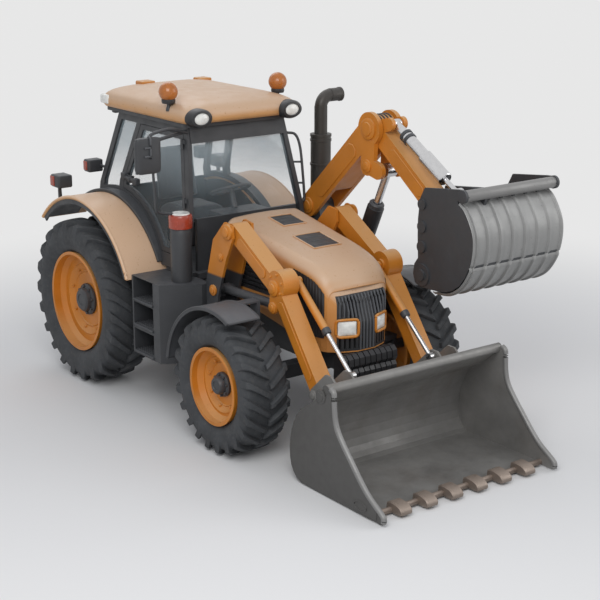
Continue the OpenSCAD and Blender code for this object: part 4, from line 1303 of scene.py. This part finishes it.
class LOADER_OT_digger(bpy.types.Operator):
    """Ribbed bucket shell with its tube, and the panels, pin caps and rings of the digging arm"""
    bl_idname = "loader.digger"
    bl_label = "Digging arm"

    def execute(self, context):
        self.shell()
        self.top_tube()
        self.arms()
        return {"FINISHED"}

    def shell(self):
        """The back's curve carried along y and lifted outwards from its middle.

        The lift is larger between the outer seams, with a ridge at each seam, and half way down it has a
        groove and a step.
        """
        out = DIG_BACK - DIG_MIDDLE
        out /= np.linalg.norm(out, axis=1)[:, None]
        y = np.linspace(0.7205, 1.7995, 361)
        ridge = np.clip((0.022 - np.abs(y[:, None] - SEAMS).min(1)) / 0.009, 0, 1)
        field = np.where((y > SEAMS[0]) & (y < SEAMS[-1]), 0.0136, 0.0015)
        run = np.linspace(0, 1, len(DIG_BACK))[:, None]
        step = 0.008 * np.clip((run - 0.56) / 0.004, 0, 1)
        groove = 0.012 * np.clip(1 - np.abs(run - 0.545) / 0.014, 0, 1)
        lift = field + 0.017 * ridge + (step - groove)
        x, z = (DIG_BACK[:, None] + out[:, None] * lift[:, :, None]).transpose(2, 0, 1)
        skin = np.stack([x, np.broadcast_to(y, x.shape), z], -1)
        put("bucket_shell", sheet(skin, True), "rear_bucket", "shell_steel", 50)

    def top_tube(self):
        """A round tube with a collar at each end, and lugs that hold it to the shell."""
        bar = turned([(0.036, 0.704), (0.047, 0.708), (0.0506, 0.722), (0.0506, 1.798), (0.047, 1.812),
                      (0.036, 1.816)], BUCKET_TUBE)
        put("bucket_top_tube", bar, "rear_bucket", "worn_steel")
        collars = [turned([(0.030, y), (0.058, y + 0.003), (0.058, y + 0.029), (0.030, y + 0.032)],
                          BUCKET_TUBE) for y in (0.702, 1.786)]
        put("bucket_tube_collars", merged(*collars), "rear_bucket", "charcoal_paint")
        lugs = [rounded_box((3.355, y - 0.018, 2.10), (3.455, y + 0.018, 2.20), 0.01) for y in SEAMS[2:-1]]
        put("bucket_tube_lugs", merged(*lugs), "rear_bucket", "charcoal_paint")

    def arms(self):
        """Raised strips on both faces of boom and stick, stepped pin caps, and turned rings at the elbow."""
        boom = [strip(BOOM_PIN, ELBOW_PIN, 0.074, 0.20, 0.74, y, y + 0.010)
                for y in (BOOM_RIGHT - 0.009, BOOM_LEFT - 0.001)]
        put("boom_panels", merged(*boom), "boom_arm", "amber_paint", 35)
        stick = [strip(ELBOW_PIN, STICK_TIP, 0.055, 0.32, 0.78, y, y + 0.008) for y in (0.764, 0.948)]
        put("stick_panels", merged(*stick), "stick_arm", "amber_paint", 35)
        pins = ((BOOM_PIN, 0.078, 0.032), (ELBOW_PIN, 0.098, 0.036), ((2.190, 2.260), 0.060, 0.026))
        caps = [boss(pin, y, r, out, sign) for y, sign in ((BOOM_RIGHT, -1), (BOOM_LEFT, 1))
                for pin, r, out in pins]
        put("boom_caps", merged(*caps), "boom_arm", "amber_paint", 35)
        elbow = [turned([(0.118, y), (0.128, y + 0.004), (0.128, y + 0.016), (0.118, y + 0.02)],
                        (ELBOW_PIN[0], 0, ELBOW_PIN[1])) for y in (0.79, 0.83, 0.87, 0.91)]
        put("elbow_rings", merged(*elbow), "stick_arm", "black_paint")


# Cylinders

def collar(name, body, finish, line, profile):
    """A ring on each cylinder of a line: a closed profile of (radius, way from the foot) turned about it."""
    foot, eye, ys = line
    d = np.subtract(eye, foot)
    d /= np.linalg.norm(d)
    w = circle(32)
    r, h = (v[:, None] for v in np.asarray(profile).T)
    side = r * np.cos(w)
    ring = np.stack([foot[0] + d[0] * h - d[1] * side, r * np.sin(w), foot[1] + d[1] * h + d[0] * side], -1)
    put(name, merged(*[rings(ring + [0, y, 0], True) for y in ys]), body, finish, 35)


def gland(r, end):
    """Profile of a gland at the end of a barrel of radius r, open in the middle for the rod."""
    return [(1.02 * r, end - 0.05), (1.16 * r, end - 0.045), (1.16 * r, end - 0.008), (r, end + 0.004),
            (0.70 * r, end + 0.006), (0.70 * r, end - 0.004)]


class LOADER_OT_cylinders(bpy.types.Operator):
    """Glands on the cylinder barrels, sleeves and bands on two of them, and the cover of one rod"""
    bl_idname = "loader.cylinders"
    bl_label = "Cylinders"

    def execute(self, context):
        for name, body, line, r, end in (("lift_glands", "lift_cylinder", LIFT_LINE, 0.040, 0.76),
                                         ("tilt_glands", "tilt_cylinder", TILT_LINE, 0.034, 0.56),
                                         ("boom_gland", "boom_cylinder", BOOM_LINE, 0.062, 0.65),
                                         ("bucket_gland", "bucket_cylinder", CURL_LINE, 0.042, 0.56)):
            collar(name, body, "charcoal_paint", line, gland(r, end))
        collar("bucket_cylinder_sleeve", "bucket_cylinder", "chrome", CURL_LINE,
               [(0.044, 0.150), (0.054, 0.156), (0.054, 0.530), (0.044, 0.535)])
        collar("bucket_cylinder_cover", "bucket_ram", "chrome", CURL_LINE,
               [(0.058, 0.460), (0.067, 0.466), (0.067, 0.776), (0.060, 0.784), (0.027, 0.786),
                (0.027, 0.779), (0.058, 0.774)])
        collar("boom_cylinder_sleeve", "boom_cylinder", "black_paint", BOOM_LINE,
               [(0.063, 0.160), (0.080, 0.170), (0.080, 0.605), (0.063, 0.612)])
        for k, h in enumerate((0.150, 0.205)):
            collar(f"bucket_cylinder_band_{k + 1}", "bucket_cylinder", "charcoal_paint", CURL_LINE,
                   [(0.050, h), (0.062, h + 0.006), (0.062, h + 0.034), (0.050, h + 0.040)])
        return {"FINISHED"}


# Seat

def cushion(lo, hi, lean):
    """A pillow between two corners: on a grid, two faces part by a sixth-power bulge and meet at the rim.

    Two grooves run along it. Without a lean it lies and faces up. With one it stands, faces forward and
    leans back by that slope.
    """
    lo, hi = np.array(lo), np.array(hi)
    mid, half = (lo + hi) / 2, (hi - lo) / 2
    u, v = np.meshgrid(np.linspace(-1, 1, 29), np.linspace(-1, 1, 29), indexing="ij")
    fat = (1 - np.abs(u) ** 6) ** 0.5 * (1 - np.abs(v) ** 6) ** 0.5
    full = fat * (1 - 0.10 * np.exp(-((np.abs(v) - 0.55) / 0.05) ** 2))
    y = mid[1] + half[1] * v * (1 - 0.04 * (1 - u ** 2) * (np.abs(v) > 0.9))
    if lean:
        z = mid[2] + half[2] * u
        x = mid[0] - lean * (z - lo[2]) + 0.03
        front, back = (x + half[0] * full, y, z), (x - half[0] * fat ** 0.5, y, z)
    else:
        x = mid[0] + half[0] * u
        front, back = (x, y, mid[2] + half[2] * full), (x, y, mid[2] - half[2] * fat ** 0.3)
    return merged(sheet(np.stack(front, -1), lean > 0), sheet(np.stack(back, -1), lean == 0))


def close_rim(mesh):
    """Joins the two faces of a pillow along their rim and turns all faces outwards."""
    bm = bmesh.new()
    bm.from_mesh(mesh)
    bmesh.ops.remove_doubles(bm, verts=bm.verts, dist=0.0005)
    bmesh.ops.recalc_face_normals(bm, faces=bm.faces)
    bm.to_mesh(mesh)
    bm.free()


def swell(scene, obj, cap):
    """Blows a closed cushion up as cloth under pressure for 20 frames; no point moves further than cap."""
    remesh = obj.modifiers.new("even", "REMESH")
    remesh.mode = "VOXEL"
    remesh.voxel_size = 0.011
    graph = bpy.context.evaluated_depsgraph_get()
    mesh = bpy.data.meshes.new_from_object(obj.evaluated_get(graph))
    obj.modifiers.remove(remesh)
    mesh.materials.clear()
    mesh.materials.append(obj.data.materials[0])
    obj.data = mesh
    start = np.empty(len(mesh.vertices) * 3)
    mesh.vertices.foreach_get("co", start)
    cloth = obj.modifiers.new("cloth", "CLOTH")
    cloth.settings.use_pressure = True
    cloth.settings.uniform_pressure_force = 4.0
    cloth.settings.effector_weights.gravity = 0.0
    for step in range(1, 21):
        scene.frame_set(step)
    graph = bpy.context.evaluated_depsgraph_get()
    end = np.empty_like(start)
    obj.evaluated_get(graph).data.vertices.foreach_get("co", end)
    obj.modifiers.remove(cloth)
    scene.frame_set(1)
    move = (end - start).reshape(-1, 3)
    move -= move.mean(0)
    far = np.linalg.norm(move, axis=1)[:, None]
    move *= np.minimum(1.0, cap / np.maximum(far, 1e-9))
    mesh.vertices.foreach_set("co", (start.reshape(-1, 3) + move).ravel())
    mesh.update()
    mesh.shade_smooth()
    fine = obj.modifiers.new("fine", "SUBSURF")
    fine.levels = fine.render_levels = 1


class LOADER_OT_seat(bpy.types.Operator):
    """Padded seat and back on a pedestal"""
    bl_idname = "loader.seat"
    bl_label = "Seat"

    def execute(self, context):
        base = rounded_box((0.15, -0.18, 1.2905), (0.50, 0.18, 1.558), 0.03)
        obj = put("seat_pedestal", base, "chassis", "black_paint")
        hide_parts("seat_unit")
        for name, lo, hi, lean in (("seat_cushion", (0.12, -0.25, 1.558), (0.62, 0.25, 1.692), 0.0),
                                   ("seat_back", (0.02, -0.235, 1.70), (0.13, 0.235, 2.23), 0.17)):
            obj = put(name, cushion(lo, hi, lean), "chassis", "seat_cloth", 70)
            close_rim(obj.data)
            swell(context.scene, obj, 0.012)
        return {"FINISHED"}


# Add-on

OPERATORS = (
    LOADER_OT_stage, LOADER_OT_finishes, LOADER_OT_tyres, LOADER_OT_hubs, LOADER_OT_roof, LOADER_OT_hood,
    LOADER_OT_mirror, LOADER_OT_columns, LOADER_OT_fenders, LOADER_OT_front_fenders, LOADER_OT_steps,
    LOADER_OT_rear, LOADER_OT_loader, LOADER_OT_digger, LOADER_OT_cylinders, LOADER_OT_seat)


class LOADER_PT_panel(bpy.types.Panel):
    """Lists the operators and their settings"""
    bl_idname = "LOADER_PT_panel"
    bl_label = "Loader"
    bl_space_type = "VIEW_3D"
    bl_region_type = "UI"
    bl_category = "Loader"

    def draw(self, context):
        for cls in OPERATORS:
            self.layout.operator(cls.bl_idname)
        scene = context.scene
        for group in (scene.loader_colours, scene.loader_sizes, scene.loader_stage):
            for key in group.__annotations__:
                self.layout.prop(group, key)


CLASSES = (LoaderColours, LoaderSizes, LoaderStage) + OPERATORS + (LOADER_PT_panel,)


def register():
    for cls in CLASSES:
        bpy.utils.register_class(cls)
    bpy.types.Scene.loader_colours = bpy.props.PointerProperty(type=LoaderColours)
    bpy.types.Scene.loader_sizes = bpy.props.PointerProperty(type=LoaderSizes)
    bpy.types.Scene.loader_stage = bpy.props.PointerProperty(type=LoaderStage)


def unregister():
    del bpy.types.Scene.loader_colours, bpy.types.Scene.loader_sizes, bpy.types.Scene.loader_stage
    for cls in reversed(CLASSES):
        bpy.utils.unregister_class(cls)


def main():
    register()
    for cls in OPERATORS:
        group, name = cls.bl_idname.split(".")
        getattr(getattr(bpy.ops, group), name)()


if __name__ == "__main__":
    main()
